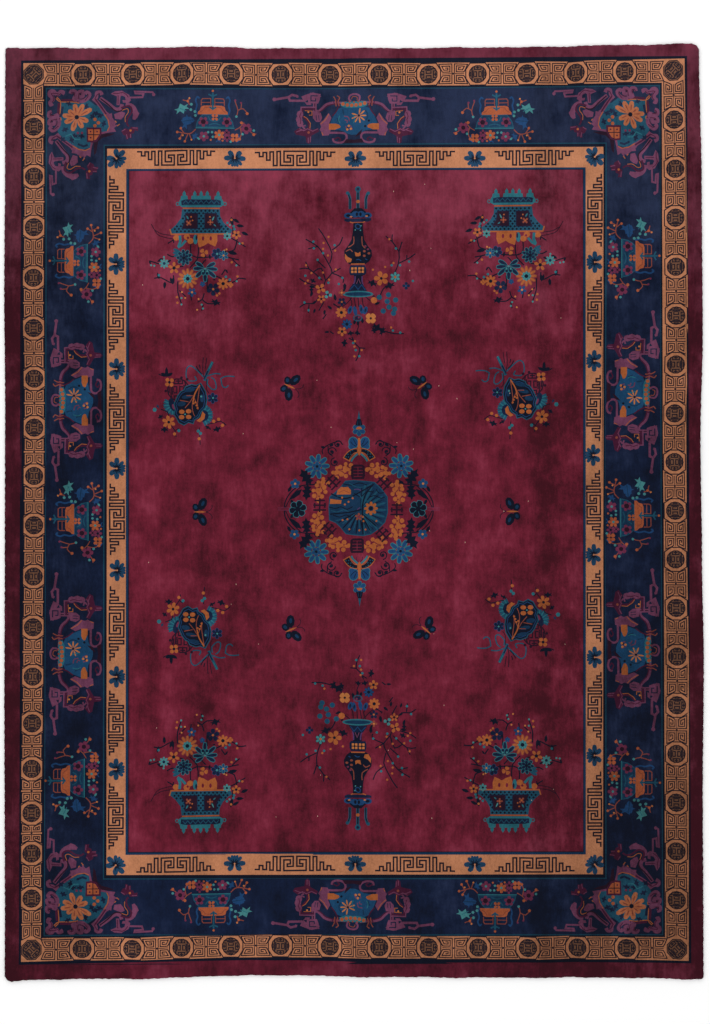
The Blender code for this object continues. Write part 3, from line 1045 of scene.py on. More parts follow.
def vase_body():
    """From its three prongs to the oval rim: foot, collar, belly, banded neck and flared mouth."""
    art = Sketch()
    for x, top in ((-31, -398), (31, -396)):
        lean = 7 if x > 0 else -7
        art.line("sea", 11, [(x + lean, top), (x, top + 22), (x, -334)])
        art.line("ink", 4, [(x + lean, top + 4), (x, top + 24), (x, -334)])
        art.dots("sea", 7.5, [(x + lean * 1.4, top)])
    art.line("sea", 13, [(0, -402), (0, -320)])
    art.line("ink", 5, [(0, -398), (0, -320)])
    art.ovals("sea", (12, 12), [(0, -412)], 0, 8)
    art.ovals("navy", (6, 6), [(0, -412)], 0, 6)
    art.fill("orange", oval_points((0, -363), (8, 7), 0, 6))
    art.fill("ink", [(-30, -322), (-14, -337), (14, -337), (32, -322), (48, -300), (-46, -300)])
    art.ovals("blue", (17, 12), [(-38, -309), (38, -309)], 0, 9)
    art.ovals("blue", (16, 13), [(-10, -313), (12, -313)], 0, 9)
    art.ovals("ink", (9, 6), [(-38, -309), (38, -309)], 0, 7)
    art.ovals("ink", (5, 8), [(-4, -313), (10, -313)], 0, 7)
    art.ovals("amber", (6, 3), [(-27, -304), (34, -306)], 0, 5)
    art.fill("navy", [(-53, -296), (52, -298), (52, -290), (40, -284), (-42, -284), (-53, -288)])
    art.line("orange", 4, [(-32, -284), (-20, -280), (16, -280), (28, -284)])
    art.fill("ink", [
        (-18, -280), (19, -280), (21, -244), (25, -214), (38, -191), (54, -172), (56, -150), (46, -129),
        (30, -117), (-30, -117), (-46, -128), (-53, -150), (-52, -172), (-37, -192), (-24, -215),
        (-20, -244),
    ])
    art.line("blue", 3.6, oval_points((0, -265), (11, 9), 45, 8), closed=True)
    art.dots("pale_teal", 3, [(-10, -252), (12, -268), (10, -250)])
    art.sweeps("rust", 3.6, [
        [(-16, -226), (-16, -198), (-38, -184)], [(16, -226), (18, -192), (30, -180)],
        [(-46, -168), (-30, -176), (-20, -166)],
    ], 2)
    art.fill("orange", [(-12, -166), (2, -160), (10, -166), (12, -152), (4, -148), (-8, -148)])
    art.fill("orange", [(-50, -160), (-38, -146), (-22, -138), (-26, -126), (-40, -124), (-50, -142)])
    art.ovals("rose", (5, 4), [(40, -176), (30, -188)], 0, 6)
    art.ovals("rust", (6, 5), [(44, -160), (26, -150), (26, -168)], 0, 6)
    art.sweeps("blue", 3.4, [[(-6, -134), (4, -136), (14, -130)], [(30, -138), (38, -134)]], 2)
    art.line("orange", 4.2, [(-26, -118), (28, -118)])
    art.fill("navy", [
        (-28, -113), (28, -113), (34, -100), (34, -82), (28, -74), (-28, -74), (-32, -84), (-32, -100),
    ])
    for x in (-14, 14):
        art.fill("amber", [(x - 11, -105), (x + 11, -105), (x + 11, -83), (x - 11, -83)])
        art.lines("ink", 3.4, [[(x - 11, -94), (x + 11, -94)], [(x, -105), (x, -83)]])
        art.dots("ink", 4.4, [(x, -94)])
    art.fill("ink", [(-14, -74), (20, -74), (18, -38), (-14, -38)])
    art.sweeps("violet", 5, [[(-9, -70), (-11, -48), (-20, -32)], [(18, -70), (18, -50), (22, -34)]], 2)
    art.line("mauve", 3, [(-4, -40), (4, -60), (12, -40)])
    art.fill("navy", [(-19, -40), (19, -40), (38, -12), (-38, -12)])
    art.line("blue", 3, [(-30, -18), (-12, -36), (2, -18), (16, -36), (30, -16)])
    art.fill("teal", oval_points((2, 0), (60, 13), 0, 16))
    art.fill("deep_teal", oval_points((2, 0), (52, 7.5), 0, 14))
    return art


tell("vase body", vase_body())

# %% The whole tall vase


def tall_vase():
    """Branches and leaves first, then the body, then grapes and blossoms in front."""
    art = Sketch()
    art.sweeps("ink", 4.6, VASE_BRANCHES, 2)
    art.sweeps("umber", 4, VASE_STEMS, 2)
    for x, y, turn, length in VASE_LEAVES:
        art.put(leaf("ink", length, 0.5 * length), (x, y), turn)
    for yarn, radius, spots in VASE_BERRIES:
        art.dots(yarn, radius, spots)
    for x, y, radius, turn in (
        (57, -40, 24, 200), (127, -31, 25, 160), (78, 128, 28, 30), (98, 146, 22, 120), (60, 142, 18, 250),
        (-28, 156, 18, 170), (-2, 156, 16, 190), (-50, 192, 21, 100), (-173, -55, 17, 30),
        (-178, -18, 15, 90),
    ):
        art.put(star_leaf("ink", radius), (x, y), turn)
    art.put(vase_body())
    art.dots("sea", 11, [
        (85, 12), (121, 2), (149, 22), (116, 28), (123, 50), (100, 66), (145, 58), (140, 74),
    ], 8)
    art.dots("blue", 5, [(121, 4), (116, 30), (100, 68), (140, 76)], 6)
    art.ovals("orange", (13, 13), [(64, 24)], 0, 9)
    art.bloom((51, 95), 22, 4, "amber", "ink", slim=0.95, turn=45, core=0.22)
    art.bloom((-64, 72), 23, 8, "orange", "ink", slim=0.9)
    art.ovals("blue", (9, 17), [(-30, 62), (30, 64)], 20, 8)
    art.ovals("blue", (8, 20), [(-10, 66), (14, 60)], -10, 8)
    art.ovals("navy", (4, 9), [(-30, 62), (14, 60), (30, 64)], 10, 6)
    art.line("sea", 4, oval_points((0, 94), (17, 12), 0, 9), closed=True)
    art.ovals("navy", (12, 8), [(0, 94)], 0, 8)
    art.dots("rose", 4.4, [(14, 84), (4, 92)])
    art.bloom((-43, 118), 21, 8, "blue", "ink", "navy")
    art.bloom((-62, 146), 19, 5, "orange", "ink", slim=0.7)
    art.bloom((93, -62), 29, 5, "orange", "ink", slim=0.75, turn=20, core=0.2)
    art.bloom((147, -68), 21, 6, "pale_teal", "orange", "navy", slim=0.9, core=0.25)
    art.bloom((-145, -22), 21, 4, "orange", "ink", slim=0.6, turn=30, core=0.2)
    art.bloom((-142, 18), 17, 5, "orange", "umber", slim=0.6)
    art.bloom((-116, 2), 16, 3, "pale_teal", "navy", slim=0.6, turn=40)
    art.bloom((-62, 30), 17, 5, "navy", "orange", slim=0.8, core=0.25)
    art.bloom((-62, -6), 13, 4, "rust", "amber", slim=0.7)
    art.bloom((190, -33), 15, 4, "navy", "blue", slim=0.8)
    return art


tell("tall vase", tall_vase())

# %% [markdown]
# Between the baskets float four bouquets tied with ribbon: a lobed dark fan on a leafy handle, with two
# half-open chrysanthemums behind it. Here the handle points up and away.

# %% The tied bouquet
FAN_SHAPE = [
    (43, 80), (61, 48), (65, 18), (60, -10), (42, -28), (33, -48), (15, -60), (11, -73), (-7, -68),
    (-25, -79), (-43, -70), (-53, -51), (-62, -39), (-56, -20), (-62, 0), (-53, 18), (-46, 34), (-34, 49),
    (-22, 54), (-16, 67), (7, 76), (25, 72),
]


def bouquet():
    """Ribbon and stems first, then the chrysanthemums, the fan over them and small flowers round it."""
    art = Sketch()
    # ribbon loops and stems
    art.sweeps("sea", 5, [
        [(56, 106), (34, 128), (14, 146), (0, 150), (-12, 138), (-14, 108), (-2, 92), (26, 94), (20, 110)],
        [(64, 108), (80, 114), (100, 120), (122, 118)],
        [(72, 100), (70, 78), (90, 58), (104, 64), (98, 94), (84, 106)],
        [(122, 102), (128, 72), (142, 66), (152, 74)], [(122, 100), (136, 108), (156, 110), (176, 108)],
    ], 3)
    art.sweeps("umber", 3.4, [
        [(54, 184), (52, 134), (58, 104)], [(68, 182), (62, 140)], [(66, 100), (66, 60), (76, 44)],
    ], 2)
    art.sweeps("ink", 4, [[(26, 150), (36, 132), (50, 118)], [(38, 156), (42, 140)]], 2)
    art.line("sea", 11, [(58, 92), (66, 116), (78, 140), (90, 166)])
    art.line("teal", 4, [(76, 138), (90, 166)])
    art.line("navy", 5, [(56, 98), (72, 130)])
    # the round fret emblem and the chrysanthemums behind the fan
    art.put(fret_disc("umber", 46, 5), (-46, 57))
    art.dots("umber", 6, [(-33, 104), (-10, 98), (-96, 52)])
    art.put(fan("sea", 42, 11, 60, 212, 10), (-66, -2))
    art.put(fan("teal", 40, 6, 70, 200, 5), (-66, -2))
    art.ovals("navy", (13, 28), [(-70, -2)], 20, 9)
    art.ovals("rose", (5, 12), [(-66, -10)], 20, 7)
    art.put(fan("sea", 46, 12, -160, -20, 10), (46, -42))
    art.put(fan("teal", 43, 6, -150, -30, 5), (46, -42))
    art.ovals("navy", (24, 24), [(50, -44)], 0, 9)
    art.fill("orange", [(49, -27), (60, -39), (57, -56), (40, -70), (26, -64), (42, -50)])
    # the lobed fan itself
    art.line("sea", 8, FAN_SHAPE, closed=True)
    art.fill("ink", FAN_SHAPE)
    art.line("blue", 2.6, [(0.9 * x, 0.9 * y) for x, y in FAN_SHAPE], closed=True)
    art.ovals("deep_teal", (22, 8), [(-12, 30), (0, 56)], 10, 8)
    art.ovals("deep_teal", (18, 10), [(-34, 2)], 10, 8)
    art.ovals("deep_teal", (8, 16), [(48, 24)], 0, 8)
    art.sweeps("rust", 3.2, [
        [(40, 76), (22, 46), (2, 12), (-20, -14)], [(40, 76), (34, 36), (30, 4), (32, -20)],
        [(22, 46), (10, 8), (10, -24), (18, -46)], [(14, 30), (30, -4)], [(-14, 34), (12, 34)],
        [(-40, 16), (-6, 10)],
    ], 2)
    art.sweep("orange", 5, [(40, 76), (20, 42), (12, 10)], 3)
    art.dots("orange", 4.4, [(26, -4), (30, -14), (14, 4), (22, 8)])
    art.dots("pale_teal", 4.2, [(45, 31)])
    for x, y in ((-33, -29), (-6, -27), (-34, -50), (-6, -49)):
        art.ovals("orange", (11.5, 9), [(x, y)], 0, 8)
    art.lines("ink", 3, [[(-20, -24), (-20, -56)], [(-46, -39), (8, -39)]])
    art.dots("pale_teal", 3.6, [(-20, -39)])
    # flowers, leaves and twigs round it
    art.bloom((-81, 86), 20, 4, "orange", "ink", slim=0.75, turn=40)
    for turn, length in ((0, 34), (70, 26), (-70, 26)):
        art.put(leaf("ink", length, 15), (-92, 112), turn)
    art.sweep("ink", 4, [(-124, 118), (-104, 110), (-80, 112), (-70, 124)], 3)
    art.bloom((-85, -70), 27, 6, "orange", "ink", slim=0.75, turn=10, core=0.22)
    art.put(star_leaf("ink", 20), (-102, -102), 0)
    art.sweeps("ink", 3.6, [
        [(-75, -84), (-60, -104), (-56, -128)], [(-60, -104), (-46, -94)],
        [(-86, -46), (-90, -30), (-116, -20)], [(37, -90), (38, -118), (40, -158)],
        [(68, -78), (96, -72), (120, -66), (142, -82)], [(80, -100), (78, -90)],
    ], 2)
    art.dots("teal", 7, [(-45, -103), (32, -104), (41, -113)])
    art.dots("orange", 7, [(-62, -116), (93, -66), (112, -58), (127, -82), (36, -134)])
    art.dots("teal", 9, [(-141, -22)])
    art.put(star_leaf("ink", 15), (-117, -51), 30)
    art.put(star_leaf("deep_teal", 10), (-127, -8), 120)
    art.put(star_leaf("ink", 21), (105, -94), 200)
    art.put(star_leaf("ink", 14), (70, -88), 150)
    art.bloom((90, 24), 22, 6, "navy", "ink", "blue", slim=0.9)
    art.dots("pale_teal", 4, [(91, 25)])
    return art


tell("tied bouquet", bouquet())

# %% [markdown]
# The medallion gathers everything round a lobed disc: a ring of orange scrolling leaves with plain fret
# emblems between them, four blue blossoms, two butterflies and a frame of curling stems. Most of it repeats
# in quarters, so one quarter is drawn and flipped.

# %% The medallion's sprays and stems


def scroll_leaf():
    """A knobbly orange leaf spray, long and low: a bent stem with rounded knobs on both sides."""
    art = Sketch()
    art.sweep("orange", 13, [(-44, -10), (-22, 0), (0, -2), (22, 4), (44, 0)], 2)
    for x, y, radius in (
        (-42, -12, 9), (-30, 12, 10), (-20, -16, 10), (-12, 24, 8), (-6, 8, 12), (2, -22, 9), (12, 20, 9),
        (16, -8, 12), (26, 20, 8), (32, 4, 10), (38, -16, 9), (46, 8, 8),
    ):
        art.dots("orange", radius, [(x, y)], sides=7)
    art.sweeps("wine", 3, [[(-34, 0), (-22, 4), (-14, 14)], [(4, -10), (14, 4), (24, 8)]], 2)
    art.dots("wine", 3.4, [(-8, -8), (8, 8), (30, -8), (-24, -6)])
    return art


def medallion_quarter():
    """One quarter, to the upper right."""
    art = Sketch()
    # blossom, leaves and the curving stems
    art.bloom((165, 167), 50, 9, "blue", None, "teal", slim=0.85, turn=8)
    art.dots("wine", 20, [(165, 167)], sides=9)
    art.bloom((165, 167), 19, 5, "blue", "ink", "teal")
    art.put(oak_leaf("ink", 74, 46), (188, 96), -34)
    art.put(oak_leaf("ink", 64, 40), (201, 96), -175)
    art.put(leaf("ink", 66, 22), (222, 78), -130)
    art.put(leaf("ink", 30, 14), (278, 66), 30)
    art.put(leaf("ink", 26, 13), (266, 38), 150)
    art.put(leaf("ink", 30, 14), (176, 96), 60)
    art.sweep("ink", 4.6, [(290, 4), (287, 30), (266, 66), (232, 90), (170, 97)], 4)
    art.sweep("ink", 3.4, [(286, 6), (262, 52), (224, 92)], 4)
    art.bloom((250, 99), 20, 5, "blue", "amber", "sea", slim=0.9, core=0.24)
    # the curling tendrils beside the butterfly
    for x, y, radius in ((84, 252, 17), (108, 224, 19), (96, 182, 18)):
        curl = np.linspace(0.2, 2.3 * math.pi, 13)
        grow = radius * (0.25 + 0.75 * curl / curl[-1])
        turn = 2.2 if y > 200 else 0.6
        curled = np.stack([x + grow * np.cos(curl + turn), y + grow * np.sin(curl + turn)], axis=1)
        art.line("ink", 4.2, curled)
        art.dots("ink", 6.4, [(x, y)])
    art.sweeps("ink", 4.2, [
        [(64, 250), (76, 264), (96, 260), (122, 250), (144, 232), (142, 214)],
        [(122, 246), (120, 220), (104, 206)],
    ], 3)
    art.put(leaf("ink", 20, 12), (100, 254), 240)
    art.put(leaf("ink", 20, 12), (132, 240), 280)
    # the thin point at the side
    art.line("rose", 2.6, [(268, 5), (316, 4)])
    return art


tell("leaf spray", scroll_leaf())
tell("quarter of the medallion", medallion_quarter())

# %% The medallion's large butterfly


def medallion_butterfly():
    """The large butterfly whose long wings open towards the middle of the medallion."""
    half = Sketch()
    half.ovals("teal", (20, 24), [(22, 258)], -18, 11)
    half.ovals("teal", (14, 13), [(29, 243)], 0, 9)
    half.ovals("blue", (17, 21), [(22, 258)], -18, 10)
    half.ovals("blue", (11, 10), [(29, 243)], 0, 8)
    half.sweeps("ink", 2.4, [[(8, 246), (16, 258), (22, 272)], [(10, 242), (24, 250), (34, 262)]], 2)
    half.sweep("orange", (16, 28), [(6, 227), (24, 224), (40, 212), (52, 192)], 2)
    half.sweep("ink", (11, 23), [(8, 227), (24, 224), (39, 212), (50, 195)], 2)
    half.dots("sea", 2.8, [(26, 228), (35, 222), (44, 213), (52, 203), (33, 212), (42, 202)])
    half.sweep("orange", 2.4, [(8, 219), (22, 208), (34, 194), (39, 184)], 2)
    half.sweep("teal", 7, [(6, 214), (18, 204), (28, 192), (31, 184)], 2)
    half.sweep("plum", 3, [(4, 208), (12, 198), (12, 188)], 2)
    art = Sketch()
    art.pair(half)
    art.fill("orange", [(-4, 276), (4, 276), (6, 240), (5, 214), (0, 206), (-5, 214), (-6, 240)])
    # the blossom and the spire beyond it
    art.bloom((0, 309), 27, 6, "blue", None, "teal", turn=0)
    art.fill("orange", [(-12, 310), (-8, 318), (0, 321), (8, 318), (12, 310)])
    art.fill("ink", [(-14, 324), (14, 324), (10, 342), (5, 352), (0, 384), (-5, 352), (-10, 342)])
    art.fill("sea", [(-6, 350), (6, 350), (0, 384)])
    art.lines("deep_teal", 2.6, [[(-6, 326), (-4, 344)], [(6, 326), (4, 344)]])
    return art


tell("large butterfly", medallion_butterfly())

# %% The medallion's disc


def medallion_disc():
    """The lobed pond: long reeds that spread from one side, ripples, and an orange rosette."""
    art = Sketch()
    edge = [
        (-55, 110), (-22, 112), (27, 108), (60, 104), (88, 78), (112, 46), (114, -16), (104, -55),
        (78, -82), (49, -102), (18, -108), (-22, -104), (-50, -99), (-72, -72), (-90, -55), (-116, -44),
        (-119, 5), (-116, 49), (-94, 66), (-72, 88),
    ]
    art.fill("deep_teal", edge)
    art.line("sea", 3, [(0.98 * x, 0.98 * y) for x, y in edge], closed=True)
    for turn in np.linspace(-80, 80, 11):
        art.put(petal("sea", 104, 9), (6, -6), turn - 90)
        art.put(petal("ink", 96, 3), (6, -6), turn - 82)
    for turn in (120, 138, 156, 174, 192, 210, 228):
        art.put(petal("ink", 94, 6), (0, -8), turn)
        art.put(petal("sea", 84, 4), (0, -8), turn + 9)
    art.sweeps("ink", 3.4, [
        [(-116, 8), (-90, 2), (-70, 8), (-46, -2), (-24, 8)],
        [(-100, -24), (-74, -32), (-50, -24), (-30, -34)], [(-64, 98), (-30, 92), (0, 100), (30, 92)],
        [(-20, 60), (6, 46), (30, 66), (56, 64)], [(40, 44), (62, 50), (84, 40), (100, 44)],
        [(66, 76), (78, 60), (98, 62)],
    ], 3)
    art.sweeps("sea", 3, [
        [(-108, -6), (-84, -12), (-60, -4), (-38, -12)], [(-40, 100), (-8, 84), (24, 86), (50, 98)],
        [(-4, 60), (20, 30), (44, 34)], [(-90, -46), (-66, -42), (-46, -52)],
    ], 3)
    art.sweeps("ink", 5, [
        [(56, 96), (22, 48), (14, -10), (18, -100)], [(-110, 60), (-60, 40), (-20, 52), (50, 90)],
        [(-112, -20), (-40, -14), (10, -4)],
    ], 4)
    art.fill("orange", [(-88, 56), (-84, 74), (-70, 86), (-58, 84), (-44, 86), (-32, 72), (-32, 56)])
    art.line("rust", 2.6, [(-80, 64), (-60, 72), (-38, 62)])
    art.fill("orange", [(-114, 20), (-70, 20), (-68, 34), (-90, 36), (-112, 40)])
    art.line("teal_line", 3, [(-86, 50), (-24, 48)])
    art.bloom((47, 0), 27, 8, "orange", slim=0.85)
    art.dots("deep_teal", 11, [(47, 0)], 8)
    art.dots("ink", 7, [(47, 0)], 7)
    art.bloom((0, -32), 15, 5, "rust", "rose", slim=0.7)
    art.sweeps("violet", 3.4, [[(-20, 74), (-4, 76), (6, 70)], [(-6, -4), (4, 4)]], 2)
    art.dots("orange", 4.2, [
        (-66, 44), (-25, 41), (-41, 27), (-55, 17), (-63, -44), (-44, -41), (16, -33), (19, -49),
        (-36, -80), (3, -85), (27, -82), (69, -49),
    ])
    return art


tell("medallion disc", medallion_disc())

# %% The whole medallion


def medallion():
    """Four quarters and two butterflies, then the ring of sprays and emblems, then the disc."""
    art = Sketch()
    spray = scroll_leaf()
    art.quarters(medallion_quarter())
    art.puts(medallion_butterfly(), ((0, 0), (4, 0, 180)))
    for x in (-238, 231):
        art.put(blossom(35, 6, "ink", "ink", "teal", slim=1.1, turn=45), (x, 0))
    # the ring of leaf sprays and plain fret emblems: x, y and the turn of each spray
    for k, (x, y, turn) in enumerate((
        (73, 147, -22), (152, 60, -76), (150, -73, -104), (62, -142, -158), (-80, -136, 154),
        (-158, -54, 96), (-152, 74, 66), (-57, 149, 18),
    )):
        art.put(spray, (x, y), turn, flip=k % 2 == 1, size=0.98)
    block = Sketch()
    block.fill("umber", [
        (-22, -27), (22, -27), (27, -14), (25, 22), (15, 28), (-15, 28), (-25, 22), (-27, -14),
    ])
    block.lines("wine", 2.4, [
        [(-16, 18), (16, 18)], [(-18, 6), (18, 6)], [(-18, -6), (18, -6)], [(-16, -17), (16, -17)],
        [(0, 18), (0, -17)],
    ])
    knot = Sketch()
    knot.lines("umber", 6.4, [
        [(-24, -18), (24, -18)], [(-24, 0), (24, 0)], [(-20, 18), (20, 18)], [(0, -26), (0, 26)],
        [(-19, 9), (-19, -10)], [(19, 9), (19, -10)],
    ])
    for k, (x, y) in enumerate((
        (-5, 143), (96, 100), (148, -5), (95, -100), (-5, -145), (-117, -79), (-153, 15), (-104, 105),
    )):
        art.put(knot if k % 4 else block, (x, y), 45 * (k % 2), size=1.04)
    art.put(medallion_disc())
    return art


tell("medallion", medallion())

# %% The field put together
# Middles of the field's pieces: x, y in mm, then a turn and a flip where they have them. The rug is
# nearly the same in each quarter.
MEDALLION_MIDDLE = (20, 14)
BASKETS = ((-595, 1089, 180, True), (621, 1100, 180), (-597, -1088), (605, -1083, 0, True))
VASES = ((16, 854, 180, True), (16, -821, 0, True))
BOUQUETS = ((-641, 424), (651, 446, 0, True), (-622, -448, 180, True), (657, -420, 180))
BUTTERFLIES = (
    (-250, 495, 246), (266, 497, 127), (-599, 4, 270), (620, 5, 90), (-243, -459, 292), (282, -460, 50),
)


def draw_field(art):
    """The medallion and everything that stands round it on the wine ground."""
    art.put(medallion(), MEDALLION_MIDDLE)
    art.puts(flower_basket(), BASKETS)
    art.puts(tall_vase(), VASES)
    art.puts(bouquet(), BOUQUETS)
    art.puts(small_butterfly(), BUTTERFLIES)


print("baskets:", len(BASKETS), "vases:", len(VASES), "bouquets:", len(BOUQUETS))

# %% [markdown]
# Now the whole plan is painted: bands, borders, then the field. The knots hold a rug together, so the mesh
# must be one skin too. The outlines of all shapes and a lattice of plain points go into one constrained
# triangulation, which cuts every edge into the net. Each triangle is then given the yarn of the last shape
# that covers it.

# %% The plan's outline, and shapes cut into plain pieces
LATTICE_STEP = 60.0  # plain points that let the cloth wave between the motifs, in mm
OUTLINE_STEP = 12.0  # points along the rug's edge, in mm
RIM = 3.0  # how far the flat plan stops short of the true edge, where the pile turns over
SLIVER = 0.05  # a piece with less area than this, in square mm, is left out
WELD, FINE_WELD = 0.01, 0.004  # points nearer than this are joined, in the overlay and in the light net
BOX_SLACK = 0.02  # how far past a shape's own box a triangle's middle may lie, in mm


def plan_outline(step):
    """The rug's straight-sided plan with its worn corners, counter-clockwise from the foot's left."""
    w, h = HALF_WIDTH - RIM, HALF_LENGTH - RIM
    corners = ((-w, -h), (w, -h), (w, h), (-w, h))
    points = []
    for k, (x, y) in enumerate(corners):
        radius = CORNER_RADII[k]
        middle = np.array([x - math.copysign(radius, x), y - math.copysign(radius, y)])
        angle = math.radians(180.0 + 90.0 * k) + np.linspace(0.0, math.pi / 2.0, 7)
        points.append(middle + radius * np.stack([np.cos(angle), np.sin(angle)], axis=1))
    loop = []
    for k in range(4):
        loop.append(points[k])
        start, end = points[k][-1], points[(k + 1) % 4][0]
        count = int(np.linalg.norm(end - start) / step)
        share = (np.arange(1, count) / count)[:, None]
        loop.append(start + share * (end - start))
    return np.vstack(loop)


def area_of(points):
    """The signed area inside an outline, positive when it runs counter-clockwise."""
    x, y = points[:, 0], points[:, 1]
    return 0.5 * float(np.sum(x * np.roll(y, -1) - np.roll(x, -1) * y))


def plain_pieces(points):
    """The outline itself if it is convex, otherwise the triangles it cuts into. All counter-clockwise."""
    if area_of(points) < 0.0:
        points = points[::-1]
    step = np.roll(points, -1, axis=0) - points
    following = np.roll(step, -1, axis=0)
    bend = step[:, 0] * following[:, 1] - step[:, 1] * following[:, 0]
    if np.all(bend > -1e-6):
        return [points]
    cuts = tessellate_polygon([[Vector((x, y, 0.0)) for x, y in points]])
    pieces = [points[list(cut)] for cut in cuts]
    return [piece if area_of(piece) > 0.0 else piece[::-1] for piece in pieces]


def lattice_points(step):
    """A square lattice of points that reaches to just inside the rug's edge."""
    xs = np.arange(-HALF_WIDTH + step, HALF_WIDTH - 0.5 * step, step)
    ys = np.arange(-HALF_LENGTH + step, HALF_LENGTH - 0.5 * step, step)
    return np.stack(np.meshgrid(xs, ys), axis=-1).reshape(-1, 2)


outline = plan_outline(OUTLINE_STEP)
print("outline points:", len(outline), "star leaf in plain pieces:", len(plain_pieces(STAR_LEAF)))

# %% Overlaying the shapes and joining them into one net

def overlay(outline, art):
    """One net in which no triangle crosses the edge of any shape, each with the top shape's yarn."""
    shapes = [(0, outline)]
    for yarn, points in art.shapes:
        shapes += [(yarn, piece) for piece in plain_pieces(points) if area_of(piece) > SLIVER]
    starts = np.cumsum([0] + [len(points) for _, points in shapes])
    faces = [list(range(a, b)) for a, b in zip(starts[:-1], starts[1:])]
    seeds = [Vector(p) for p in np.vstack([points for _, points in shapes])]
    points, _, triangles, _, _, owners = delaunay_2d_cdt(seeds, [], faces, 1, WELD, True)
    points, triangles = np.array([tuple(p) for p in points]), np.array(triangles)

    # a shape counts for a triangle only when the triangle's middle is inside the shape's own box
    shape_of = np.concatenate(owners).astype(int)
    triangle_of = np.repeat(np.arange(len(owners)), [len(owner) for owner in owners])
    middle = points[triangles].mean(axis=1)[triangle_of]
    low = np.array([piece.min(axis=0) for _, piece in shapes])[shape_of] - BOX_SLACK
    high = np.array([piece.max(axis=0) for _, piece in shapes])[shape_of] + BOX_SLACK
    within = np.all((middle > low) & (middle < high), axis=1)
    top = np.full(len(owners), -1)
    np.maximum.at(top, triangle_of[within], shape_of[within])
    inside = np.zeros(len(owners), bool)
    inside[triangle_of[shape_of == 0]] = True
    yarn = np.array([yarn for yarn, _ in shapes])[top]
    return points, triangles[inside], yarn[inside]


def colour_edges(net, yarn):
    """The net's edges that have two yarns or only one triangle beside them."""
    edges = np.sort(np.vstack([net[:, (0, 1)], net[:, (1, 2)], net[:, (2, 0)]]), axis=1)
    beside = np.tile(yarn, 3)
    order = np.lexsort((edges[:, 1], edges[:, 0]))
    edges, beside = edges[order], beside[order]
    paired = np.all(edges[1:] == edges[:-1], axis=1)
    first, second = np.append(paired, False), np.insert(paired, 0, False)
    differs = np.append(beside[1:] != beside[:-1], False)
    return edges[~(first | second) | (first & differs)]


def triangulate(outline, art, step):
    """The sketch inside the outline as one light net: points, triangles and each triangle's yarn.

    The overlay also holds every hidden edge, so only the edges between two yarns are kept and joined
    afresh with a plain lattice. A new triangle takes the yarn of the old one under its middle."""
    points, net, yarn = overlay(outline, art)
    edges = colour_edges(net, yarn)
    used, renumbered = np.unique(edges, return_inverse=True)
    seeds = [Vector(p) for p in np.vstack([points[used], lattice_points(step)])]
    edges = renumbered.reshape(-1, 2).tolist()
    new_points, _, new_net, _, _, _ = delaunay_2d_cdt(seeds, edges, [], 1, FINE_WELD, False)
    new_points, new_net = np.array([tuple(p) for p in new_points]), np.array(new_net)
    flat = np.hstack([points, np.zeros((len(points), 1))])
    finder = BVHTree.FromPolygons(flat.tolist(), net.tolist())
    middles = np.hstack([new_points[new_net].mean(axis=1), np.zeros((len(new_net), 1))])
    under = np.array([finder.find_nearest(middle)[2] for middle in middles.tolist()])
    return new_points, new_net, yarn[under]


diamond = Sketch()
diamond.fill("tan", [(-90, 0), (0, -90), (90, 0), (0, 90)])
_, small_net, small_yarn = triangulate(plan_outline(400.0), diamond, 400.0)
print("triangles of one tan diamond:", int(np.sum(small_yarn == YARN_NAMES.index("tan"))), "of",
      len(small_net))

# %% The whole plan as one net of triangles
LINT_COUNT = 34  # pale specks of fluff caught in the pile
LINT_AREA = ((-860.0, -1300.0), (860.0, 1300.0))
LINT_HALF_WIDTH, LINT_HALF_LENGTH = 1.3, (1.4, 3.6)  # mm, the length from the least to the most

# the guard's yarn lies under everything, and a little past the edge
plan = Sketch()
plan.fill("guard", plan_outline(200.0) * 1.01)
draw_bands(plan)
bands_only = Sketch()
bands_only.shapes = list(plan.shapes)
draw_outer_border(plan)
draw_inner_border(plan)
draw_main_border(plan)
draw_field(plan)
lint = np.random.default_rng(31)
for x, y in lint.uniform(*LINT_AREA, (LINT_COUNT, 2)):
    plan.ovals("lint", (LINT_HALF_WIDTH, float(lint.uniform(*LINT_HALF_LENGTH))), [(x, y)], 0.0, 5)
top_points, top_net, top_yarn = triangulate(outline, plan, LATTICE_STEP)
print("shapes:", len(plan.shapes), "net points:", len(top_points), "triangles:", len(top_net))

# %% [markdown]
# The flat plan becomes cloth. The edge tables pull the outline to its uneven shape, and the pull fades
# towards the middle. Long low waves lift the pile by a millimetre or two, as they do in any big rug that
# has been walked on. The rim then rolls over a quarter circle, and the underside takes the plain bands.

# %% From the straight plan to the uneven cloth
PULL_POWER = 1.7  # the edge's pull fades towards the middle by this power of the share of the way out


def eased(table, share):
    """The edge's offset in mm at a share of its length, eased between the table's rows."""
    stops, offsets = np.array(table, float).T
    k = np.clip(np.searchsorted(stops, share, side="right") - 1, 0, len(stops) - 2)
    t = np.clip((share - stops[k]) / (stops[k + 1] - stops[k]), 0.0, 1.0)
    return offsets[k] + (offsets[k + 1] - offsets[k]) * t * t * (3.0 - 2.0 * t)


# How far the bands lean from straight at shares of the way from foot to head, in mm towards the right
LEFT_INNER_BOW = ((0.0, 2), (0.12, 3), (0.25, 5), (0.42, 9), (0.6, 6), (0.85, 5), (1.0, 3))
LEFT_OUTER_BOW = ((0.0, -6), (0.18, -5), (0.34, 1), (0.5, 4), (0.8, 4), (1.0, 1))
RIGHT_BOW = ((0.0, -4), (0.12, -7), (0.35, -9), (0.62, -8), (0.85, -2), (1.0, 0))


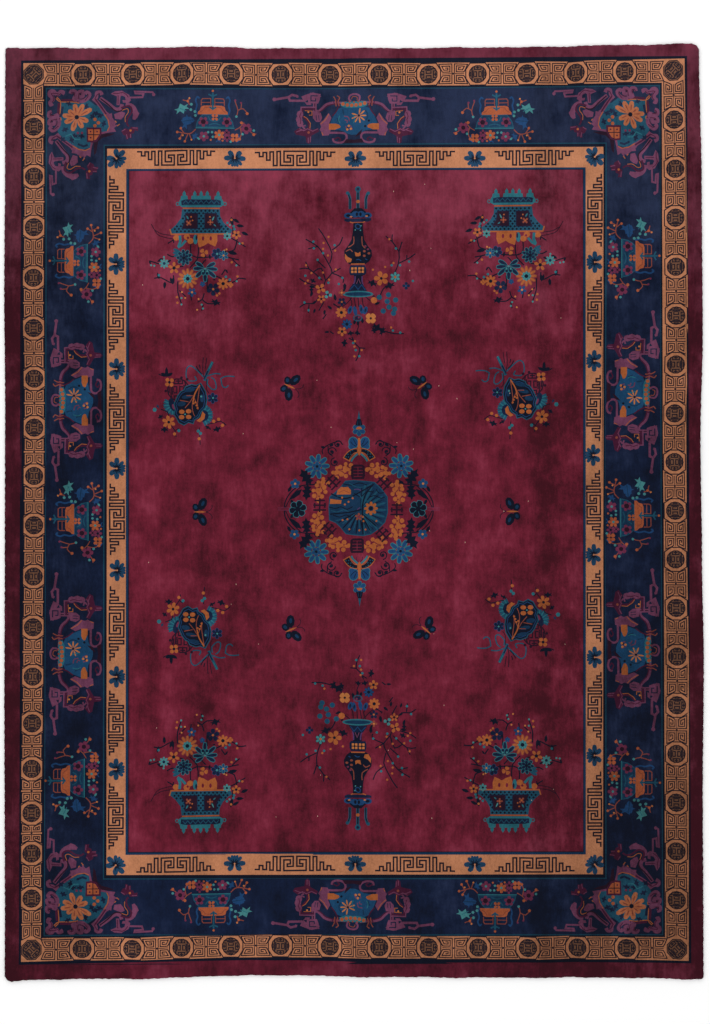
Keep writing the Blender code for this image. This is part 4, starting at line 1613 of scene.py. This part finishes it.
def bow(x, along_y):
    """How far a straight band leans sideways, fading out on both sides of the band."""
    inner = eased(LEFT_INNER_BOW, along_y) * np.interp(-x, (600, 870, 1000, 1190), (0, 1, 1, 0))
    outer = eased(LEFT_OUTER_BOW, along_y) * np.interp(-x, (1000, 1190, 1300, 1350), (0, 1, 1, 0))
    right = eased(RIGHT_BOW, along_y) * np.interp(x, (870, 975, 1060, 1200), (0.1, 1, 0.8, 0))
    return inner + outer + right


def warp(points):
    """Plan points in mm moved so that the straight edges become the uneven ones.

    To that pull it adds the bands' lean and a slow drift of a millimetre or so, calm at the edges."""
    x, y = points[:, 0], points[:, 1]
    along_x = (x + HALF_WIDTH) / (2.0 * HALF_WIDTH)
    along_y = (y + HALF_LENGTH) / (2.0 * HALF_LENGTH)
    ripple = sum(height * np.sin(math.tau * x / wave) for wave, height in END_RIPPLES)
    side = np.where(x < 0.0, -eased(LEFT_SIDE, along_y), eased(RIGHT_SIDE, along_y))
    end = np.where(y < 0.0, -eased(FOOT_END, along_x) - ripple, eased(HEAD_END, along_x) + ripple)
    pull_x, pull_y = np.abs(x / HALF_WIDTH) ** PULL_POWER, np.abs(y / HALF_LENGTH) ** PULL_POWER
    drift_x = 1.4 * np.sin(y / 210.0) + 0.9 * np.sin(y / 83.0 + x / 300.0)
    drift_y = 1.4 * np.sin(x / 190.0 + 1.0) + 0.9 * np.sin(x / 71.0 + y / 340.0)
    calm = (1.0 - pull_x) * (1.0 - pull_y)
    lean = bow(x, along_y)
    return np.stack([x + lean + side * pull_x + drift_x * calm, y + end * pull_y + drift_y * calm], axis=1)


def wave_height(points):
    """Long low waves of the laid cloth, in mm, nothing at the very edge."""
    x, y = points[:, 0], points[:, 1]
    waves = (
        0.8 * np.sin(x / 170.0 + 0.6 * np.sin(y / 420.0)) * np.cos(y / 510.0)
        + 0.6 * np.sin(y / 120.0 + 0.8 * np.sin(x / 330.0))
        + 0.5 * np.sin((x + 0.6 * y) / 95.0 + 1.3)
    )
    reach = np.minimum(HALF_WIDTH - np.abs(x), HALF_LENGTH - np.abs(y))
    return waves * np.clip(reach / 120.0, 0.0, 1.0)


head_left = np.array([(-HALF_WIDTH, HALF_LENGTH)])
print("the head's left corner moves to", np.round(warp(head_left)[0], 1))

# %% The top, its rolled rim and the underside's own net

def rim_loop(points, net):
    """The directed edges round the net, each used by one triangle only."""
    edges = np.vstack([net[:, [0, 1]], net[:, [1, 2]], net[:, [2, 0]]])
    low, high = edges.min(axis=1), edges.max(axis=1)
    _, first, count = np.unique(low * len(points) + high, return_index=True, return_counts=True)
    return edges[first[count == 1]]


def outward(points, edges):
    """The unit direction out of the cloth at each point on the rim: across the two edges that meet there."""
    step = points[edges[:, 1]] - points[edges[:, 0]]
    across = np.stack([step[:, 1], -step[:, 0]], axis=1)
    total = np.zeros_like(points)
    np.add.at(total, edges[:, 0], across)
    np.add.at(total, edges[:, 1], across)
    return total / np.maximum(np.linalg.norm(total, axis=1, keepdims=True), 1e-9)


PILE_DIP = 1.6  # mm from the full thickness down to the mean height of the pile
WAVE_HEIGHT, WAVE_SUM = 1.2, 1.9  # mm of the highest wave, and the sum of the three waves' own heights
TURN_OVER = (28.0, 58.0, 90.0)  # degrees round the pile's quarter circle
ROLL_DROP = 3.4  # mm that the rim comes down over that quarter circle
WALL_FOOT, TUCK = 1.4, 2.0  # mm: where the upright side ends, and how far the underside is tucked in

top_flat = warp(top_points)
top_edges = rim_loop(top_points, top_net)
out = outward(top_flat, top_edges)
low, high = top_flat.min(axis=0), top_flat.max(axis=0)
middle = (low + high) / 2.0
random = np.random.default_rng(12)
rim_ids = np.unique(top_edges)
ragged = 0.9 * np.sin(rim_ids * 2.399) + random.uniform(-0.7, 0.7, len(rim_ids))  # small uneven tufts
height = THICKNESS - PILE_DIP + WAVE_HEIGHT * wave_height(top_points) / WAVE_SUM
top = np.column_stack([top_flat - middle, height])
rings = []
for angle in TURN_OVER:
    reach = (RIM + ragged) * math.sin(math.radians(angle))
    drop = ROLL_DROP * (1.0 - math.cos(math.radians(angle)))
    ring_flat = top[rim_ids, :2] + out[rim_ids] * reach[:, None]
    rings.append(np.column_stack([ring_flat, top[rim_ids, 2] - drop]))
wall_foot = rings[-1].copy()
wall_foot[:, 2] = WALL_FOOT
tuck = wall_foot.copy()
tuck[:, :2] -= out[rim_ids] * TUCK
tuck[:, 2] = 0.0
rings += [wall_foot, tuck]

BACK_STEP = 90.0  # the plain underside needs fewer lattice points
back_points, back_net, back_yarn = triangulate(outline, bands_only, BACK_STEP)
print("rim points:", len(rim_ids), "back triangles:", len(back_net))

# %% [markdown]
# The top, the rings of the rim and the underside are still separate lists of points. They are numbered in
# one row here, with the underside's rim points replaced by the last ring's, so the cloth closes without a
# seam. Each triangle's yarn goes into a colour attribute that the wool reads.

# %% One closed mesh with its yarn colours


def same_places(points, wanted):
    """For each wanted point, the number of the nearest one in points."""
    gap = np.abs(points[:, None, :] - wanted[None, :, :]).sum(axis=2)
    return gap.argmin(axis=0)


def ring_faces(edges, ids, inner_start, outer_start):
    """Four-cornered faces between two rings, where the inner one may be the net's own edge."""
    a, b = np.searchsorted(ids, edges[:, 0]), np.searchsorted(ids, edges[:, 1])
    inner_a = edges[:, 0] if inner_start is None else a + inner_start
    inner_b = edges[:, 1] if inner_start is None else b + inner_start
    return np.column_stack([inner_b, inner_a, a + outer_start, b + outer_start])


back_flat = warp(back_points) - middle
back_rim = np.unique(rim_loop(back_points, back_net))
starts = [None] + [len(top) + k * len(rim_ids) for k in range(len(rings))]
sides = np.vstack([ring_faces(top_edges, rim_ids, a, b) for a, b in zip(starts[:-1], starts[1:])])
back_start = len(top) + len(rings) * len(rim_ids)
number = np.arange(len(back_points)) + back_start
number[back_rim] = starts[-1] + same_places(top_points[rim_ids], back_points[back_rim])
back = np.column_stack([back_flat, np.zeros(len(back_flat))])
corners = np.vstack([top] + rings + [back]) * MM
kept = np.ones(len(corners), bool)
kept[back_start + back_rim] = False
renumber = np.cumsum(kept) - 1
corners = corners[kept]
top_faces = renumber[top_net]
side_faces = renumber[sides]
back_faces = renumber[number[back_net[:, ::-1]]]
print("corners in one row:", len(corners))

# %% The flat charts: a large one for the pile and its rim, a smaller one beside it for the back
PILE_SCALE, BACK_SCALE = 0.26, 0.08  # chart units for each metre
PILE_MIDDLE, BACK_MIDDLE = (0.37, 0.5), (0.87, 0.2)
RING_GAP = 6.0  # mm between the rim's rings on the chart
ring_charts = [top[rim_ids, :2] + out[rim_ids] * RING_GAP * (k + 1) for k in range(len(rings))]
flat_uv = np.vstack([top[:, :2]] + ring_charts) * MM * PILE_SCALE + PILE_MIDDLE
back_uv = back_flat * MM * BACK_SCALE + BACK_MIDDLE
print("pile chart:", np.round(np.ptp(flat_uv, axis=0), 3))
print("back chart:", np.round(np.ptp(back_uv, axis=0), 3))

# %% The mesh, its colours and its charts
yarn_colours = np.array([[linear(v) for v in YARNS[name][:3]] + [YARNS[name][3]] for name in YARN_NAMES])
guard = YARN_NAMES.index("guard")
mesh = bpy.data.meshes.new("rug_pile")
faces = [f.tolist() for f in (top_faces, side_faces, back_faces)]
mesh.from_pydata(corners.tolist(), [], faces[0] + faces[1] + faces[2])
corner_yarn = np.concatenate([
    np.repeat(top_yarn, 3), np.full(4 * len(side_faces), guard), np.repeat(back_yarn, 3),
])
corner_uv = np.vstack([
    flat_uv[top_net.ravel()], flat_uv[sides.ravel()], back_uv[back_net[:, ::-1].ravel()],
])
yarn_layer = mesh.color_attributes.new("yarn", "FLOAT_COLOR", "CORNER")
yarn_layer.data.foreach_set("color", yarn_colours[corner_yarn].ravel())
uv_layer = mesh.uv_layers.new(name="OFBake")
uv_layer.data.foreach_set("uv", corner_uv.ravel())
rolled = np.zeros(len(mesh.polygons), bool)
rolled[len(top_faces):len(top_faces) + len(side_faces)] = True
mesh.polygons.foreach_set("use_smooth", rolled)
mesh.update()
mesh.validate()
rug = bpy.data.objects.new("pile_rug", mesh)
bpy.context.scene.collection.objects.link(rug)
triangle_count = len(top_faces) + 2 * len(side_faces) + len(back_faces)
print("corners:", len(corners), "triangles:", triangle_count)

# %% [markdown]
# Wool is matt, so nearly all of its look is colour. The dyed yarn from the mesh is multiplied by slow
# changes: the lie of the pile, brushed lengthways in patches, painted light at the head, painted shade
# down the sides and on the crease lines, and the small difference from knot to knot. A painted sheen
# is added on top. A Signal wraps one socket, so each of these reads as plain arithmetic.

# %% Shader arithmetic


class Signal:
    """One number or colour socket that can be added, multiplied and compared like a Python number."""

    def __init__(self, shop, socket):
        self.shop, self.socket = shop, socket

    def _maths(self, operation, first, second=None):
        """Adds one Math node."""
        inputs = [first] if second is None else [first, second]
        return self.shop.node("ShaderNodeMath", {"operation": operation}, dict(enumerate(inputs)))

    def __add__(self, other):
        return self._maths("ADD", self, other)

    __radd__ = __add__

    def __mul__(self, other):
        return self._maths("MULTIPLY", self, other)

    __rmul__ = __mul__

    def __sub__(self, other):
        return self._maths("SUBTRACT", self, other)

    def __rsub__(self, other):
        return self._maths("SUBTRACT", other, self)

    def __abs__(self):
        return self._maths("ABSOLUTE", self)


class Shop:
    """Makes nodes in one material: a type, its settings, then values or Signals for its inputs."""

    def __init__(self, material):
        material.use_nodes = True
        self.tree = material.node_tree
        self.tree.nodes.clear()

    def node(self, kind, settings=None, inputs=None, output=0):
        """One node, as the Signal of the output asked for."""
        made = self.tree.nodes.new(kind)
        for name, value in (settings or {}).items():
            setattr(made, name, value)
        for name, value in (inputs or {}).items():
            socket = made.inputs[name]
            if isinstance(value, Signal):
                self.tree.links.new(value.socket, socket)
            else:
                socket.default_value = value
        return Signal(self, made.outputs[output])

    def spread(self, value, low, high, to_low=0.0, to_high=1.0):
        """Moves a value smoothly from one range to another."""
        settings = {"interpolation_type": "SMOOTHSTEP"}
        inputs = {"Value": value, "From Min": low, "From Max": high, "To Min": to_low, "To Max": to_high}
        return self.node("ShaderNodeMapRange", settings, inputs)

    def noise(self, place, scale, stretch=(1.0, 1.0, 1.0), detail=3.0, rough=0.5, shift=(0.0, 0.0, 0.0)):
        """Cloudy noise, stretched along an axis by scaling the place it is read at."""
        moved = self.node("ShaderNodeMapping", {}, {"Vector": place, "Scale": stretch, "Location": shift})
        inputs = {"Vector": moved, "Scale": scale, "Detail": detail, "Roughness": rough}
        return self.node("ShaderNodeTexNoise", {"noise_dimensions": "3D"}, inputs)

    def vector(self, operation, inputs):
        """Arithmetic on a whole colour, which a Math node would turn grey."""
        return self.node("ShaderNodeVectorMath", {"operation": operation}, inputs)

    def surface(self, shader):
        """Makes a shader the surface of the material."""
        output = self.tree.nodes.new("ShaderNodeOutputMaterial")
        self.tree.links.new(shader.socket, output.inputs["Surface"])


print("the shop's tools:", ", ".join(name for name in vars(Shop) if not name.startswith("_")))

# %% The wool


def wool_material():
    """Dyed yarn x light, plus a painted sheen: light holds the painted light and shade over the rug and on
    the crease lines, the nap and the knots.
    """
    material = bpy.data.materials.new("wool_pile")
    shop = Shop(material)
    dyed = shop.node("ShaderNodeVertexColor", {"layer_name": "yarn"})
    nap_and_painted_light_share = shop.node("ShaderNodeVertexColor", {"layer_name": "yarn"}, output=1)
    place = shop.node("ShaderNodeTexCoord", output=3)
    split = shop.node("ShaderNodeSeparateXYZ", {}, {0: place})
    x, y = split, Signal(shop, split.socket.node.outputs[1])

    # the lie of the pile: clouds, then streaks and strands that run the length of the rug
    clouds = shop.noise(place, 3.0, (1.0, 0.62, 1.0), 6.0, 0.62)
    patches = shop.noise(place, 9.0, (1.0, 0.7, 1.0), 4.0, 0.6, (4.0, 0.0, 0.0))
    streaks = shop.noise(place, 26.0, (1.0, 0.28, 1.0), 3.0, 0.6, (0.0, 7.0, 0.0))
    strands = shop.noise(place, 95.0, (1.0, 0.22, 1.0), 2.0, 0.6, (2.0, 3.0, 0.0))
    blotches = shop.noise(place, 17.0, (0.8, 1.0, 1.0), 4.0, 0.65, (9.0, 2.0, 0.0))
    nap = (clouds - 0.5) * 1.8 + (patches - 0.5) * 1.9 + (blotches - 0.5) * 1.2
    nap = nap + (streaks - 0.5) * 0.8 + (strands - 0.5) * 0.7

    # painted light and shade over the rug: painted light at the head, painted shade at the left, the right
    # and the side edges, a small step darker above 0.54 m, and darker towards the foot's right corner
    painted_head_light = shop.spread(y, 0.35, 1.5, 0.0, 0.42)
    step = shop.spread(y, 0.535, 0.545, 0.0, -0.06)
    painted_left_shade = shop.spread(x, -0.86, -1.12, 0.0, 0.40)
    painted_right_shade = shop.spread(x, 0.62, 0.95, 0.0, 0.20)
    painted_edge_shade = shop.spread(abs(x), 1.27, 1.36, 0.0, 0.24)
    painted_light_and_shade = painted_head_light + step - painted_left_shade - painted_right_shade - painted_edge_shade
    # darker towards the foot's right corner, in every yarn alike
    foot_right_darkening = shop.spread(x - y * 0.6, 0.4, 2.1, 0.0, 0.34)

    # painted shade along the crease lines where the folded rug was pressed, darkest on a line that wavers
    # with the clouds
    crease_shade_left = shop.spread(abs(x + 0.60 + (clouds - 0.5) * 0.10), 0.005, 0.07, 0.14, 0.0)
    crease_shade_right = shop.spread(abs(x - 0.735 + (clouds - 0.5) * 0.14), 0.01, 0.06, 0.24, 0.0)
    crease_shade_middle = shop.spread(abs(x - 0.04 + (clouds - 0.5) * 0.12), 0.01, 0.09, 0.08, 0.0)
    painted_crease_shade = crease_shade_left + crease_shade_right + crease_shade_middle

    # knots: a fine grain of single tufts. The smooth maximum keeps the light from falling to black.
    knots = shop.noise(place, 170.0, (1.0, 0.8, 1.0), 1.0, 0.5)
    light = 1.0 - foot_right_darkening + (painted_light_and_shade + nap - painted_crease_shade) * nap_and_painted_light_share + (knots - 0.5) * 0.5
    light = shop.node("ShaderNodeMath", {"operation": "SMOOTH_MAX"}, {0: light, 1: 0.36, 2: 0.3})
    shaded = shop.vector("SCALE", {0: dyed, 3: light})

    # painted sheen: brushed wool gets a pale grey added where the pile leans towards the eye; bloom is its
    # amount, growing with the nap and the painted light at the head
    bloom = shop.spread(nap * 0.8 + painted_head_light * 1.5, 0.0, 1.0, 0.08, 1.0) * nap_and_painted_light_share
    painted_sheen = shop.vector("SCALE", {0: (0.013, 0.014, 0.019), 3: bloom})
    colour = shop.vector("ADD", {0: shaded, 1: painted_sheen})

    tufts = shop.noise(place, 420.0, (1.0, 1.0, 1.0), 2.0, 0.6)
    ridge = shop.noise(place, 40.0, (1.0, 0.4, 1.0), 3.0, 0.6)
    bump = shop.node("ShaderNodeBump", {}, {
        "Strength": 0.35, "Distance": 0.002, "Height": tufts * 0.5 + ridge * 0.8 + nap * 0.3,
    })
    shader = shop.node("ShaderNodeBsdfPrincipled", {}, {
        "Base Color": colour, "Roughness": 0.95, "Normal": bump, "Sheen Weight": 0.03,
        "Sheen Roughness": 0.6, "Sheen Tint": (0.8, 0.6, 0.7, 1.0), "Specular IOR Level": 0.05,
    })
    shop.surface(shader)
    return material


mesh.materials.append(wool_material())
print("material nodes:", len(mesh.materials[0].node_tree.nodes))

# %% [markdown]
# The stage is plain: a pale floor, an even white sky and one broad soft lamp from the head of the rug. The
# camera hangs straight above the middle, far enough back that the long lens shows the rug nearly flat on.

# %% Floor
FLOOR_HALF = 40.0  # metres
floor_mesh = bpy.data.meshes.new("studio_floor")
floor_corners = [(-FLOOR_HALF, -FLOOR_HALF, 0.0), (FLOOR_HALF, -FLOOR_HALF, 0.0),
                 (FLOOR_HALF, FLOOR_HALF, 0.0), (-FLOOR_HALF, FLOOR_HALF, 0.0)]
floor_mesh.from_pydata(floor_corners, [], [(0, 1, 2, 3)])
floor = bpy.data.objects.new("studio_floor", floor_mesh)
bpy.context.scene.collection.objects.link(floor)
floor_material = bpy.data.materials.new("studio_floor")
floor_shop = Shop(floor_material)
floor_shader = floor_shop.node("ShaderNodeBsdfPrincipled", {}, {
    "Base Color": (0.86, 0.86, 0.86, 1.0), "Roughness": 1.0, "Specular IOR Level": 0.0,
})
floor_shop.surface(floor_shader)
floor_mesh.materials.append(floor_material)
print("floor:", 2.0 * FLOOR_HALF, "m square")

# %% Sky and lamp
SKY_STRENGTH = 1.12
LAMP_SIZE, LAMP_POWER = (6.0, 3.0), 90.0  # metres, watts
LAMP_PLACE, LAMP_AIM = (-2.5, 5.5, 5.0), (0.35, -0.9, -0.8)
world = bpy.data.worlds.new("studio")
world.use_nodes = True
world.node_tree.nodes["Background"].inputs["Color"].default_value = (1.0, 1.0, 1.0, 1.0)
world.node_tree.nodes["Background"].inputs["Strength"].default_value = SKY_STRENGTH
bpy.context.scene.world = world

lamp_data = bpy.data.lights.new("soft_lamp", "AREA")
lamp_data.shape = "RECTANGLE"
lamp_data.size, lamp_data.size_y = LAMP_SIZE
lamp_data.energy = LAMP_POWER
lamp = bpy.data.objects.new("soft_lamp", lamp_data)
lamp.location = LAMP_PLACE
lamp.rotation_euler = Vector(LAMP_AIM).to_track_quat("-Z", "Y").to_euler()
bpy.context.scene.collection.objects.link(lamp)
print("lamp:", LAMP_POWER, "W at", LAMP_PLACE)

# %% Camera
LENS, SENSOR = 85.0, 36.0  # mm, the sensor along the picture's long side
SEEN_LENGTH = 4.004  # metres of floor that the long side of the picture takes in
CAMERA_OVER = (0.004, 0.002)  # the point of the rug that the camera hangs over, in metres
camera_data = bpy.data.cameras.new("overhead")
camera_data.lens = LENS
camera_data.sensor_width = SENSOR
camera_data.clip_end = 200.0
camera = bpy.data.objects.new("overhead", camera_data)
camera.location = (*CAMERA_OVER, THICKNESS * MM + SEEN_LENGTH * LENS / SENSOR)
bpy.context.scene.collection.objects.link(camera)
bpy.context.scene.camera = camera
bpy.context.scene.view_settings.view_transform = "Standard"
print("camera height:", round(camera.location.z, 3))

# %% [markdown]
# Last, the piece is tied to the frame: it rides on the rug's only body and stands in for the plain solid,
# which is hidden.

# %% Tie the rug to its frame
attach(rug, "root")
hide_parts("rug")
